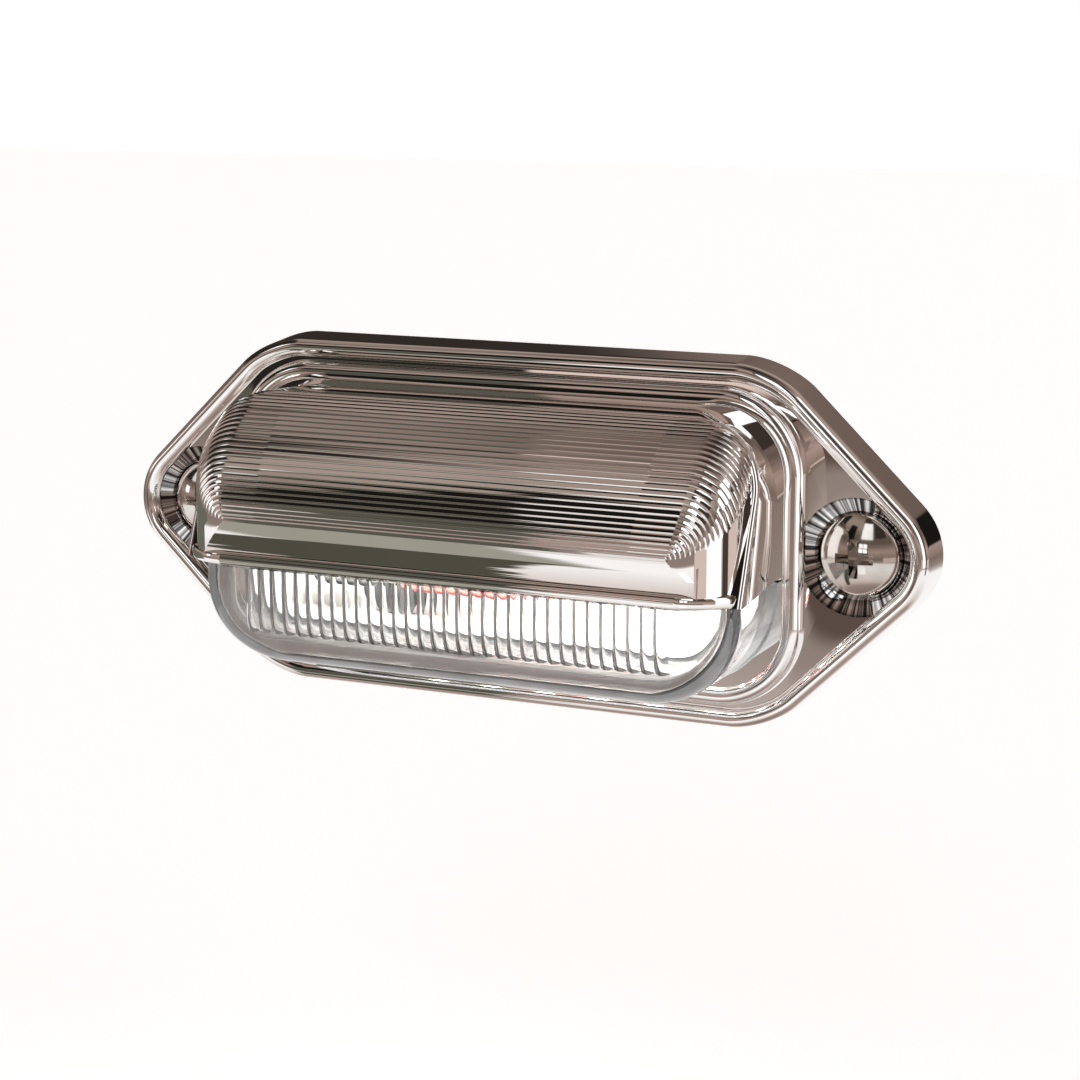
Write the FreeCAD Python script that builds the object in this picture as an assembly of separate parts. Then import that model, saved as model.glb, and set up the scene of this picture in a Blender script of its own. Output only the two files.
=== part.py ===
"""Surface-mounted hooded light: chromed cover, clear fluted lens and what they hold.

Millimetres. +X runs along the length, the front faces -Y and +Z is up. The back
of the mounting gasket lies in the plane y = 0, with the origin at its middle.
"Depth" is the distance in front of that plane, so depth d is y = -d.
"""
import FreeCAD, Part

import os
from math import asin, atan2, cos, pi, radians, sin, sqrt, tan

# Flange: a long hexagon with rounded points
TIP_X = 41.0                 # where the slanted edges would meet, from the middle
CORNER_X = 24.44             # where a slanted edge would meet the long edge
FLANGE_HALF_H = 16.1
TIP_R = 6.0
CORNER_R = 9.0
FLOOR_DEPTH = 3.0            # the flat valley between rim and frame
RIM_DEPTH = 4.0              # crest of the rounded rim
RIM_CREST_INSET = 1.0
RIM_INSET = 1.95             # where the rim meets the valley
RIM_DRAFT = 0.25             # how far the outer wall leans in
CORNER_MIN_R = 1.0           # least corner radius of an outline moved inwards
SHELL_WALL = 1.3
FLOOR_WALL = 1.2
ROUND_STEPS = 3              # steps up a rounded crest

# Raised frame round the hood and lens
FRAME_HALF_W = 27.3
FRAME_HALF_H = 13.9
FRAME_R = 7.6
FRAME_DEPTH = 4.4            # crest of the frame
FRAME_WIDTH = 1.7
CHANNEL_DEPTH = 3.9          # bottom of the groove between frame and hood

# Hood: skirt, slanted border, ribbed dome and lower lip
HOOD_EDGE_Z = -2.4           # the open lower edge
SKIRT_HALF_W = 24.9
SKIRT_TOP = 12.0
SKIRT_R = 8.0
BORDER_HALF_W = 26.1
BORDER_TOP = 11.9
BORDER_R = 6.0
BORDER_DEPTH = 14.0          # at z = 0; the border leans back towards the top
BORDER_LEAN = 0.4
BORDER_ROUND = 0.4
DOME_DEPTH = 18.0
DOME_HALF_W = 25.4
DOME_PLAN_R = 5.0
DOME_SPRING_DEPTH = 8.0      # centre of the dome's profile
DOME_SPRING_Z = 1.8          # height of the front crease
DOME_RISE = 10.3
DOME_POWER = 1.6             # 2 would be an ellipse, less is flatter
CREASE_RISE = 0.77           # climb of the side crease for each mm of depth
DOME_STEP = 0.1              # least step down from the border onto the dome
DOME_MIN_R = 0.1
DOME_STEPS = 9               # steps of the plain dome from top to front
HOOD_WALL = 1.3
PANEL_R = 8.0                # roll of the smooth panel under the crease
HOOD_INNER_DEPTH = 16.2
LIP_TOP_Z = -1.35
LIP_DEPTH = 17.75
LIP_ROUND = 0.25

# Ribs on the dome
RIB_COUNT = 27
RIB_HEIGHT = 0.12
RIB_SHARE = 0.17             # half a rib's width as a share of the pitch
RIB_START = radians(13.5)    # profile angle of the first rib, from the top
PLAIN_STEPS = 4              # steps from the top to the first rib

# Fixing screws and their cups
SCREW_SPACING = 63.5
CUP_R = 5.1
CUP_BOTTOM_DEPTH = 1.3
SCREW_HOLE_R = 2.3
BOSS_R = 6.3
BOSS_INSET = 0.5             # how far the bosses stay inside the flange's outline
SHANK_R = 2.05               # over the thread
NECK_R = 1.75                # bare neck between the head and the thread
THREAD_START = 0.4           # how far behind the mounting plane the thread begins
SHANK_LENGTH = 14.0          # what stands out behind the mounting plane
SHANK_POINT = 3.0
HEAD_R = 3.75
HEAD_RIM = 0.25
HEAD_DOME = 1.5
RECESS_SPAN = 3.7            # across the cross recess at the top of the head
RECESS_FLOOR_SPAN = 1.7
RECESS_SLOT = 0.85
RECESS_FLOOR_SLOT = 0.6
RECESS_DEEP = 1.5

# Mounting gasket
GASKET_T = 1.0
GASKET_GAP = 0.3

# Base plate with its locating ring and board shelf
BASE_T = 0.9
BASE_HALF_W = 25.5
BASE_HALF_H = 12.3
BASE_R = 7.9
RING_GAP = 0.3
RING_WALL = 1.2
RING_TALL = 2.0
SHELF_T = 1.4
SHELF_HALF_W = 20.5
SHELF_REACH = 12.6
GUSSET_X = 10.2
GUSSET_REACH = 9.5
GUSSET_TALL = 4.2

# Lens
LENS_HALF_W = 25.0
LENS_BOTTOM = -11.9
LENS_DEPTH = 16.9
LENS_PLAN_R = 4.9
LENS_R = 8.0                 # lower corners seen from the front
LENS_FRONT_R = 3.4           # the same corners at the front face
LENS_NOSE_R = 5.5            # where the bottom turns up into the front
LENS_WALL = 1.8
LENS_GAP = 0.15
HOOD_GAP = 0.2
LENS_RIM_HALF_W = 25.7
LENS_RIM_HALF_H = 12.5
LENS_RIM_R = 8.1
LENS_RIM_T = 0.8
NOSE_STEPS = 6               # steps round the nose
NOSE_START = radians(1.0)
SEAL_T = 0.4
SEAL_WIDTH = 0.5
POCKET_GAP = 0.2

# Flutes inside the front of the lens
FLUTE_PITCH = 1.2
FLUTE_HIGH = 0.4
FLUTE_HALF_SPAN = 19.8
FLUTE_WRAP = radians(30.0)   # how far they follow the nose round
FLUTE_BAND = 1.0

# Circuit board, lamps and parts on it
BOARD_T = 1.2
BOARD_HALF_W = 19.5
BOARD_TOP_Z = 1.5
BOARD_BACK = 4.6
BOARD_FRONT = 13.0
LED_COUNT = 6
LED_PITCH = 5.6
LED_W = 3.5
LED_L = 2.8
LED_TALL = 1.3
LED_WELL_R = 1.15
LED_WELL_FLOOR_R = 0.92
LED_WELL_DEEP = 0.35
LED_DEPTH = 10.6
RESISTOR_W = 3.2
RESISTOR_L = 1.6
RESISTOR_TALL = 0.6
RESISTOR_X = (-11.0, 11.0)
DIODE_W = 4.3
DIODE_L = 2.6
DIODE_TALL = 2.0
DIODE_FOOT_T = 0.5
DIODE_FOOT_L = 1.3
DIODE_CHAMFER = 0.25
DIODE_X = 0.5
PARTS_DEPTH = 6.8
BOARD_SCREW_X = 17.6
BOARD_SCREW_R = 0.95
BOARD_SCREW_GAP = 0.05       # between its shank and the hole
BOARD_SCREW_HEAD_R = 1.8
BOARD_SCREW_FACE_R = 1.35    # flat face of the head
BOARD_SCREW_HEAD_T = 1.0
BOARD_SCREW_ROUND = 0.4      # height of the slope round that face
BOARD_SCREW_LENGTH = 4.2

# Wire inlet and the leads inside
GROMMET_X = -7.0
GROMMET_Z = -4.6
GROMMET_NECK_R = 2.9
GROMMET_FLANGE_R = 3.8
GROMMET_INNER_T = 1.0
GROMMET_RECESS = 0.2
GROMMET_PORT_R = 4.1         # hole in the gasket round the grommet
LEAD_R = 0.8
LEAD_SPACING = 2.4
LEAD_BEND_R = 2.6
LEAD_RUN_DEPTH = 6.9
RED_PAD_X = 6.4
BLACK_PAD_X = -15.4

# How shapes are joined and cut
CLEAR = 1.0                  # how far a cutting shape stands out past what it cuts
BITE = 0.1                   # how far parts of one moulding run into each other

# Places that follow from the sizes above
BASE_BACK = GASKET_T
BASE_FRONT = BASE_BACK + BASE_T
RIM_FRONT = BASE_FRONT + LENS_RIM_T
SEAT_DEPTH = RIM_FRONT + SEAL_T
UNDERSIDE_DEPTH = FLOOR_DEPTH - FLOOR_WALL
SHOULDER_Z = HOOD_EDGE_Z - 2 * LENS_GAP
DOME_FOOT_Z = (HOOD_EDGE_Z + LIP_TOP_Z) / 2
BOARD_BOTTOM_Z = BOARD_TOP_Z - BOARD_T
SHELF_TOP_Z = BOARD_TOP_Z + SHELF_T


def at(x, depth, z):
    """A point given by its depth in front of the mounting plane."""
    return FreeCAD.Vector(x, -depth, z)


def rounded_loop(corners, radii, place):
    """A closed wire through 2-D corners, each rounded; place maps (u, v) to 3-D."""
    count = len(corners)
    ends = []
    for i in range(count):
        here = corners[i]
        back = unit(here, corners[i - 1])
        on = unit(here, corners[(i + 1) % count])
        half = angle_between(back, on) / 2
        reach = radii[i] / tan(half)
        start = (here[0] + back[0] * reach, here[1] + back[1] * reach)
        stop = (here[0] + on[0] * reach, here[1] + on[1] * reach)
        middle = unit((0, 0), (back[0] + on[0], back[1] + on[1]))
        sag = radii[i] / sin(half) - radii[i]
        crown = (here[0] + middle[0] * sag, here[1] + middle[1] * sag)
        ends.append((start, crown, stop))
    edges = []
    for i in range(count):
        start, crown, stop = ends[i]
        if radii[i] > 0:
            edges.append(Part.Arc(place(*start), place(*crown), place(*stop)).toShape())
        after = ends[(i + 1) % count][0]
        edges.append(Part.makeLine(place(*stop), place(*after)))
    return Part.Wire(edges)


def unit(a, b):
    """The direction from a to b in 2-D."""
    dx, dy = b[0] - a[0], b[1] - a[1]
    length = sqrt(dx * dx + dy * dy)
    return dx / length, dy / length


def angle_between(a, b):
    """The angle between two 2-D directions."""
    return abs(atan2(a[0] * b[1] - a[1] * b[0], a[0] * b[0] + a[1] * b[1]))


def loft(wires):
    """A solid with straight rulings from each wire to the next."""
    return Part.makeLoft(wires, True, True)


def slab(wire, thickness):
    """A flat plate cut along a flat wire, grown to the front."""
    face = Part.Face(wire)
    return face.extrude(FreeCAD.Vector(0, -thickness, 0))


def box(x0, x1, depth0, depth1, z0, z1):
    """A block between two corners."""
    return Part.makeBox(x1 - x0, depth1 - depth0, z1 - z0, at(x0, depth1, z0))


def rod(radius, x, z, depth0, depth1):
    """A round bar that runs from one depth to another."""
    return Part.makeCylinder(radius, depth1 - depth0, at(x, depth0, z), FreeCAD.Vector(0, -1, 0))


def hexagon(inset, depth):
    """The flange outline, moved inwards by inset."""
    slope = atan2(FLANGE_HALF_H, TIP_X - CORNER_X)
    tip = TIP_X - inset / sin(slope)
    corner = CORNER_X - inset * tan(slope / 2)
    high = FLANGE_HALF_H - inset
    half = [(corner, high), (-corner, high), (-tip, 0)]
    corners = half + [(-x, -z) for x, z in half]
    tip_r = max(TIP_R - inset, CORNER_MIN_R)
    corner_r = max(CORNER_R - inset, CORNER_MIN_R)
    radii = [corner_r, corner_r, tip_r] * 2
    return rounded_loop(corners, radii, lambda x, z: at(x, depth, z))


def panel_loop(half_w, top, bottom, r_top, r_bottom, depth):
    """A rounded rectangle at one depth."""
    corners = [(half_w, top), (-half_w, top), (-half_w, bottom), (half_w, bottom)]
    radii = [r_top, r_top, r_bottom, r_bottom]
    return rounded_loop(corners, radii, lambda x, z: at(x, depth, z))


def arch_loop(half_w, top, radius, bottom, depth_of):
    """An arch with two rounded upper corners; depth_of gives its depth at a height."""
    corners = [(half_w, top), (-half_w, top), (-half_w, bottom), (half_w, bottom)]
    return rounded_loop(corners, [radius, radius, 0, 0], lambda x, z: at(x, depth_of(z), z))


def rib_loop(half_w, top, radius, bottom, depth, swell):
    """An arch whose top and rounded corners stand out by swell, fading down the sides."""
    inner_x, inner_z = half_w - radius, top - radius
    reach = (radius + swell) * cos(pi / 4)
    right, left = at(half_w, depth, inner_z), at(-half_w, depth, inner_z)
    top_right, top_left = at(inner_x, depth, top + swell), at(-inner_x, depth, top + swell)
    return Part.Wire([
        Part.Arc(right, at(inner_x + reach, depth, inner_z + reach), top_right).toShape(),
        Part.makeLine(top_right, top_left),
        Part.Arc(top_left, at(-inner_x - reach, depth, inner_z + reach), left).toShape(),
        Part.makeLine(left, at(-half_w, depth, bottom)),
        Part.makeLine(at(-half_w, depth, bottom), at(half_w, depth, bottom)),
        Part.makeLine(at(half_w, depth, bottom), right),
    ])


def dome_point(angle, front, rise):
    """Depth and height, at an angle from its top, of a dome that reaches a front and a rise."""
    power = 2 / DOME_POWER
    depth = DOME_SPRING_DEPTH + (front - DOME_SPRING_DEPTH) * sin(angle) ** power
    height = DOME_SPRING_Z + rise * max(cos(angle), 0) ** power
    return depth, height


def plan_half_width(depth, half_w, front, radius):
    """Half the width at a depth of a plan outline with rounded front corners."""
    past = max(depth - (front - radius), 0)
    return half_w - radius + sqrt(max(radius * radius - past * past, 0))


def dome_loop(angle, swell):
    """One contour of the dome: the deeper it lies, the lower and narrower it is."""
    depth, top = dome_point(angle, DOME_DEPTH, DOME_RISE)
    half_w = plan_half_width(depth, DOME_HALF_W, DOME_DEPTH, DOME_PLAN_R)
    crease = DOME_SPRING_Z + CREASE_RISE * (DOME_DEPTH - depth)
    radius = max(top - crease, DOME_MIN_R)
    return rib_loop(half_w, top, radius, DOME_FOOT_Z, depth + swell * sin(angle), swell)


def ribbed_dome():
    """The dome's outside: flat bands between fine raised ribs, its back corners within the border."""
    pitch = (pi / 2 - RIB_START) / RIB_COUNT
    loops = [dome_loop(RIB_START * i / PLAIN_STEPS, 0) for i in range(1, PLAIN_STEPS)]
    for i in range(RIB_COUNT):
        middle = RIB_START + pitch * (i + 0.5)
        loops.append(dome_loop(middle - pitch * RIB_SHARE, 0))
        loops.append(dome_loop(middle, RIB_HEIGHT))
        loops.append(dome_loop(middle + pitch * RIB_SHARE, 0))
    half_w, top, radius = BORDER_HALF_W - DOME_STEP, BORDER_TOP - DOME_STEP, BORDER_R - DOME_STEP
    outline = arch_loop(half_w, top, radius, LENS_BOTTOM, lambda z: 0)
    return loft(loops).common(slab(outline, DOME_DEPTH + CLEAR))


def plain_dome(offset, front, bottom, back):
    """The dome without ribs, moved inwards, for the hollow and for what fits in it."""
    loops = []
    for i in range(DOME_STEPS + 1):
        depth, top = dome_point(pi / 2 * i / DOME_STEPS, front, DOME_RISE - offset)
        depth = depth if i > 0 else back
        half_w = plan_half_width(depth, DOME_HALF_W - offset, front, DOME_PLAN_R - offset)
        radius = min(SKIRT_R - offset, top - HOOD_EDGE_Z)
        loops.append(rib_loop(half_w, top, radius, bottom, depth, 0))
    return loft(loops)


def front_roll():
    """What is cut away in front of the smooth panel, so that it rolls back below the crease."""
    block = box(-BORDER_HALF_W, BORDER_HALF_W, DOME_DEPTH - PANEL_R / 2, DOME_DEPTH + CLEAR,
                HOOD_EDGE_Z - CLEAR, DOME_SPRING_Z)
    reach = BORDER_HALF_W + CLEAR
    centre = at(-reach, DOME_DEPTH - PANEL_R, DOME_SPRING_Z)
    roll = Part.makeCylinder(PANEL_R, 2 * reach, centre, FreeCAD.Vector(1, 0, 0))
    return block.cut(roll)


def border_depth(z):
    """Depth of the slanted border at a height."""
    return BORDER_DEPTH - BORDER_LEAN * z


def skirt():
    """The hood's outer wall, flared from its foot to the slanted border round the dome."""
    foot = arch_loop(SKIRT_HALF_W, SKIRT_TOP, SKIRT_R, HOOD_EDGE_Z, lambda z: FLOOR_DEPTH)
    edge = arch_loop(BORDER_HALF_W, BORDER_TOP, BORDER_R, HOOD_EDGE_Z, border_depth)
    half_w, top, radius = (size - BORDER_ROUND for size in (BORDER_HALF_W, BORDER_TOP, BORDER_R))
    crown = arch_loop(half_w, top, radius, HOOD_EDGE_Z, lambda z: border_depth(z) + BORDER_ROUND)
    return loft([foot, edge, crown])


def lip_loop(z, inset):
    """The plan outline of the lip along the hood's lower edge."""
    half_w, front = BORDER_HALF_W - inset, LIP_DEPTH - inset
    corners = [(half_w, CHANNEL_DEPTH), (half_w, front), (-half_w, front), (-half_w, CHANNEL_DEPTH)]
    return rounded_loop(corners, [0, DOME_PLAN_R, DOME_PLAN_R, 0], lambda x, d: at(x, d, z))


def lip():
    """The thick edge that runs along the foot of the dome, in front of the skirt."""
    band = loft([lip_loop(HOOD_EDGE_Z, LIP_ROUND), lip_loop(HOOD_EDGE_Z + LIP_ROUND, 0),
                 lip_loop(LIP_TOP_Z - LIP_ROUND, 0), lip_loop(LIP_TOP_Z, LIP_ROUND)])
    behind = border_depth(HOOD_EDGE_Z)
    reach = BORDER_HALF_W + CLEAR
    return band.cut(box(-reach, reach, 0, behind, HOOD_EDGE_Z - CLEAR, LIP_TOP_Z + CLEAR))


def quarter_round(foot, crest):
    """Points (inset, depth) up an elliptic quarter round, from its steep foot to its flat crest."""
    points = []
    for i in range(ROUND_STEPS + 1):
        angle = pi / 2 * i / ROUND_STEPS
        inset = foot[0] + (crest[0] - foot[0]) * (1 - cos(angle))
        points.append((inset, foot[1] + (crest[1] - foot[1]) * sin(angle)))
    return points


def flange():
    """The plate with its rounded rim and the flat valley inside it."""
    crest = (RIM_CREST_INSET, RIM_DEPTH)
    outside = [(0, 0)] + quarter_round((RIM_DRAFT, FLOOR_DEPTH), crest)
    inside = quarter_round((RIM_INSET, FLOOR_DEPTH), crest) + [(RIM_CREST_INSET, RIM_DEPTH + CLEAR)]
    plate, valley = (loft([hexagon(*point) for point in points]) for points in (outside, inside))
    return plate.cut(valley)


def frame_loop(inset, depth):
    """The frame's outline, moved inwards by inset."""
    radius = FRAME_R - inset
    return panel_loop(FRAME_HALF_W - inset, FRAME_HALF_H - inset, inset - FRAME_HALF_H, radius, radius, depth)


def frame():
    """The raised bead round the hood and the lens, with the groove inside it."""
    crest = (FRAME_WIDTH / 2, FRAME_DEPTH)
    outside = [(0, FLOOR_DEPTH - FLOOR_WALL / 2)] + quarter_round((0, FLOOR_DEPTH), crest)
    inside = quarter_round((FRAME_WIDTH, CHANNEL_DEPTH), crest) + [(FRAME_WIDTH / 2, FRAME_DEPTH + CLEAR)]
    bead, groove = (loft([frame_loop(*point) for point in points]) for points in (outside, inside))
    return bead.cut(groove)


def bosses():
    """Solid seats round the two fixing holes, trimmed to the flange."""
    inside = loft([hexagon(BOSS_INSET, GASKET_T), hexagon(BOSS_INSET, FLOOR_DEPTH)])
    pair = [rod(BOSS_R, side * SCREW_SPACING / 2, 0, GASKET_T, FLOOR_DEPTH) for side in (-1, 1)]
    return [post.common(inside) for post in pair]


def cup_radius(depth):
    """Radius of the cup's cone at a depth."""
    rate = (CUP_R - SCREW_HOLE_R) / (FLOOR_DEPTH - CUP_BOTTOM_DEPTH)
    return SCREW_HOLE_R + rate * (depth - CUP_BOTTOM_DEPTH)


def cup(side):
    """A countersunk cup with the hole below it, cut straight up through what stands over its edge."""
    x = side * SCREW_SPACING / 2
    cone = Part.makeCone(SCREW_HOLE_R, CUP_R, FLOOR_DEPTH - CUP_BOTTOM_DEPTH,
                         at(x, CUP_BOTTOM_DEPTH, 0), FreeCAD.Vector(0, -1, 0))
    hole = rod(SCREW_HOLE_R, x, 0, -CLEAR, CUP_BOTTOM_DEPTH + BITE)
    return cone.fuse([hole, rod(CUP_R, x, 0, FLOOR_DEPTH, FRAME_DEPTH + CLEAR)])


def lens_loop(angle, back, grow, top):
    """One contour of the lens's lower bowl, at an angle round its nose."""
    nose = LENS_NOSE_R + grow
    depth = back if angle == 0 else LENS_DEPTH - LENS_NOSE_R + nose * sin(angle)
    bottom = LENS_BOTTOM + LENS_NOSE_R - nose * cos(angle)
    half_w = plan_half_width(depth, LENS_HALF_W + grow, LENS_DEPTH + grow, LENS_PLAN_R + grow)
    radius = LENS_R + grow + (LENS_FRONT_R - LENS_R) * sin(angle) ** 2
    return panel_loop(half_w, top, bottom, 0, radius, depth)


def lens_bowl(back, grow, top):
    """The lower bowl of the lens as a solid, larger by grow."""
    angles = [0, NOSE_START] + [pi / 2 * (i + 1) / NOSE_STEPS for i in range(NOSE_STEPS)]
    return loft([lens_loop(angle, back, grow, top) for angle in angles])


def flute_profile(x, inset):
    """A side view of the fluted band at one place along the lens, its front moved back by inset."""
    radius = LENS_NOSE_R - LENS_WALL + FLUTE_HIGH
    centre_d, centre_z = LENS_DEPTH - LENS_NOSE_R, LENS_BOTTOM + LENS_NOSE_R
    outer, inner = radius - inset, radius - FLUTE_HIGH - FLUTE_BAND
    top = SHOULDER_Z - LENS_GAP

    def on_nose(reach, angle):
        """A point round the nose at a reach from its centre."""
        return at(x, centre_d + reach * cos(angle), centre_z - reach * sin(angle))

    start, stop = on_nose(outer, 0), on_nose(outer, FLUTE_WRAP)
    back, heel = on_nose(inner, FLUTE_WRAP), on_nose(inner, 0)
    high, low = at(x, centre_d + inner, top), at(x, centre_d + outer, top)
    return Part.Wire([
        Part.Arc(start, on_nose(outer, FLUTE_WRAP / 2), stop).toShape(), Part.makeLine(stop, back),
        Part.Arc(back, on_nose(inner, FLUTE_WRAP / 2), heel).toShape(), Part.makeLine(heel, high),
        Part.makeLine(high, low), Part.makeLine(low, start),
    ])


def flutes():
    """The fluted band: V grooves side by side, cut into the front wall from inside."""
    count = int(round(2 * FLUTE_HALF_SPAN / FLUTE_PITCH))
    profiles = []
    for i in range(2 * count + 1):
        inset = FLUTE_HIGH if i % 2 == 0 else 0.0
        profiles.append(flute_profile(-FLUTE_HALF_SPAN + i * FLUTE_HALF_SPAN / count, inset))
    return loft(profiles)


def make_cover():
    """Flange, rim, frame and hood, moulded in one piece and open at the back."""
    hood = skirt().fuse([ribbed_dome().cut(front_roll()), lip()])
    shell = flange().fuse([frame(), hood])
    hollow = loft([hexagon(SHELL_WALL, -CLEAR), hexagon(SHELL_WALL, UNDERSIDE_DEPTH)])
    seat_r = LENS_RIM_R + POCKET_GAP
    seat_half_h = LENS_RIM_HALF_H + POCKET_GAP
    seat = panel_loop(LENS_RIM_HALF_W + POCKET_GAP, seat_half_h, -seat_half_h, seat_r, seat_r, 0)
    shell = shell.cut(hollow).fuse(bosses())
    hood_hollow = plain_dome(HOOD_WALL, HOOD_INNER_DEPTH, HOOD_EDGE_Z - CLEAR, SEAT_DEPTH - CLEAR)
    lens_hole = lens_bowl(SEAT_DEPTH - CLEAR, LENS_GAP, HOOD_EDGE_Z - LENS_GAP)
    return shell.cut([slab(seat, SEAT_DEPTH), hood_hollow, lens_hole, cup(-1), cup(1)])


def lens_rim_loop(inset, depth):
    """The outline of the lens's rim, moved inwards by inset."""
    radius = LENS_RIM_R - inset
    half_h = LENS_RIM_HALF_H - inset
    return panel_loop(LENS_RIM_HALF_W - inset, half_h, -half_h, radius, radius, depth)


def make_lens():
    """A clear bowl: its lower part shows under the hood, its upper part is inside it."""
    offset = HOOD_WALL + HOOD_GAP
    front = HOOD_INNER_DEPTH - HOOD_GAP
    below = SHOULDER_Z - LENS_WALL
    hidden = plain_dome(offset, front, below, BASE_FRONT)
    shown = lens_bowl(BASE_FRONT, 0, SHOULDER_Z)
    rim = slab(lens_rim_loop(0, BASE_FRONT), LENS_RIM_T)
    inside = plain_dome(offset + HOOD_WALL, front - HOOD_WALL, below, BASE_FRONT - CLEAR)
    lower = lens_bowl(BASE_FRONT - CLEAR, -LENS_WALL, SHOULDER_Z - LENS_GAP)
    return hidden.fuse([shown, rim]).cut([inside, lower, flutes()])


def make_lens_seal():
    """A thin rubber ring pressed between the lens's rim and the cover."""
    ring = slab(lens_rim_loop(0, RIM_FRONT), SEAL_T)
    return ring.cut(slab(lens_rim_loop(SEAL_WIDTH, RIM_FRONT - CLEAR), SEAL_T + 2 * CLEAR))


def make_mounting_gasket():
    """The soft pad between the light and what it is fixed to."""
    pad = slab(hexagon(SHELL_WALL + GASKET_GAP, 0), GASKET_T)
    front = GASKET_T + CLEAR
    holes = [rod(SCREW_HOLE_R, side * SCREW_SPACING / 2, 0, -CLEAR, front) for side in (-1, 1)]
    return pad.cut(holes + [rod(GROMMET_PORT_R, GROMMET_X, GROMMET_Z, -CLEAR, front)])


def shelf_gusset(x):
    """A triangular web above the shelf."""
    foot, low = BASE_FRONT - BITE, SHELF_TOP_Z - BITE
    points = [at(x, foot, low), at(x, GUSSET_REACH, low), at(x, foot, SHELF_TOP_Z + GUSSET_TALL)]
    face = Part.Face(Part.makePolygon(points + points[:1]))
    face.translate(FreeCAD.Vector(-BASE_T / 2, 0, 0))
    return face.extrude(FreeCAD.Vector(BASE_T, 0, 0))


def board_screw_hole(side):
    """The hole for a board screw, up through the board and the shelf."""
    place = at(side * BOARD_SCREW_X, (BOARD_BACK + BOARD_FRONT) / 2, BOARD_BOTTOM_Z - CLEAR)
    return Part.makeCylinder(BOARD_SCREW_R, BOARD_T + SHELF_T + 2 * CLEAR, place)


def make_base():
    """The back plate with its locating ring and the shelf that carries the board."""
    plate = slab(panel_loop(BASE_HALF_W, BASE_HALF_H, -BASE_HALF_H, BASE_R, BASE_R, BASE_BACK), BASE_T)
    root = BASE_FRONT - BITE
    inset = LENS_WALL + RING_GAP
    offset = 2 * HOOD_WALL + HOOD_GAP + RING_GAP
    half_w, top = DOME_HALF_W - offset, DOME_SPRING_Z + DOME_RISE - offset
    bottom, outer_r = LENS_BOTTOM + inset, LENS_R - inset
    inner_r = outer_r - RING_WALL
    outer = panel_loop(half_w, top, bottom, outer_r, outer_r, root)
    inner = panel_loop(half_w - RING_WALL, top - RING_WALL, bottom + RING_WALL, inner_r, inner_r, root)
    ring = slab(outer, RING_TALL + BITE).cut(slab(inner, RING_TALL + CLEAR))
    shelf = box(-SHELF_HALF_W, SHELF_HALF_W, root, SHELF_REACH, BOARD_TOP_Z, SHELF_TOP_Z)
    gussets = [shelf_gusset(side * GUSSET_X) for side in (-1, 1)]
    holes = [board_screw_hole(side) for side in (-1, 1)]
    holes.append(rod(GROMMET_NECK_R, GROMMET_X, GROMMET_Z, 0, BASE_FRONT + CLEAR))
    return plate.fuse([ring, shelf] + gussets).cut(holes)


def make_led_board():
    """The circuit board, flat under the shelf with its lamps facing down."""
    board = box(-BOARD_HALF_W, BOARD_HALF_W, BOARD_BACK, BOARD_FRONT, BOARD_BOTTOM_Z, BOARD_TOP_Z)
    return board.cut([board_screw_hole(-1), board_screw_hole(1)])


def board_block(x, depth, width, length, tall):
    """A block soldered to the board's lower face."""
    return box(x - width / 2, x + width / 2, depth - length / 2, depth + length / 2,
               BOARD_BOTTOM_Z - tall, BOARD_BOTTOM_Z)


def make_led(index):
    """One lamp: a square body with a round well in its face."""
    x = (index - (LED_COUNT - 1) / 2) * LED_PITCH
    body = board_block(x, LED_DEPTH, LED_W, LED_L, LED_TALL)
    face = at(x, LED_DEPTH, BOARD_BOTTOM_Z - LED_TALL)
    well = Part.makeCone(LED_WELL_R, LED_WELL_FLOOR_R, LED_WELL_DEEP, face)
    return body.cut(well)


def make_diode():
    """The polarity diode: a moulded body on two folded feet."""
    body = board_block(DIODE_X, PARTS_DEPTH, DIODE_W, DIODE_L, DIODE_TALL)
    low = BOARD_BOTTOM_Z - DIODE_TALL
    edges = [edge for edge in body.Edges if edge.BoundBox.ZMax < low + DIODE_CHAMFER]
    feet = board_block(DIODE_X, PARTS_DEPTH, DIODE_W + 2 * DIODE_FOOT_T, DIODE_FOOT_L, DIODE_FOOT_T)
    return body.makeChamfer(DIODE_CHAMFER, edges).fuse(feet)


def make_board_screw(side):
    """A small pan-head screw that holds the board up against the shelf."""
    x, depth = side * BOARD_SCREW_X, (BOARD_BACK + BOARD_FRONT) / 2
    shank_r = BOARD_SCREW_R - BOARD_SCREW_GAP
    low = BOARD_BOTTOM_Z - BOARD_SCREW_HEAD_T
    outline = [(0, 0), (BOARD_SCREW_FACE_R, 0), (BOARD_SCREW_HEAD_R, BOARD_SCREW_ROUND),
               (BOARD_SCREW_HEAD_R, BOARD_SCREW_HEAD_T), (shank_r, BOARD_SCREW_HEAD_T),
               (shank_r, BOARD_SCREW_LENGTH - shank_r), (0, BOARD_SCREW_LENGTH)]
    points = [at(x + r, depth, low + h) for r, h in outline]
    face = Part.Face(Part.makePolygon(points + points[:1]))
    return face.revolve(at(x, depth, low), FreeCAD.Vector(0, 0, 1), 360)


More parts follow.
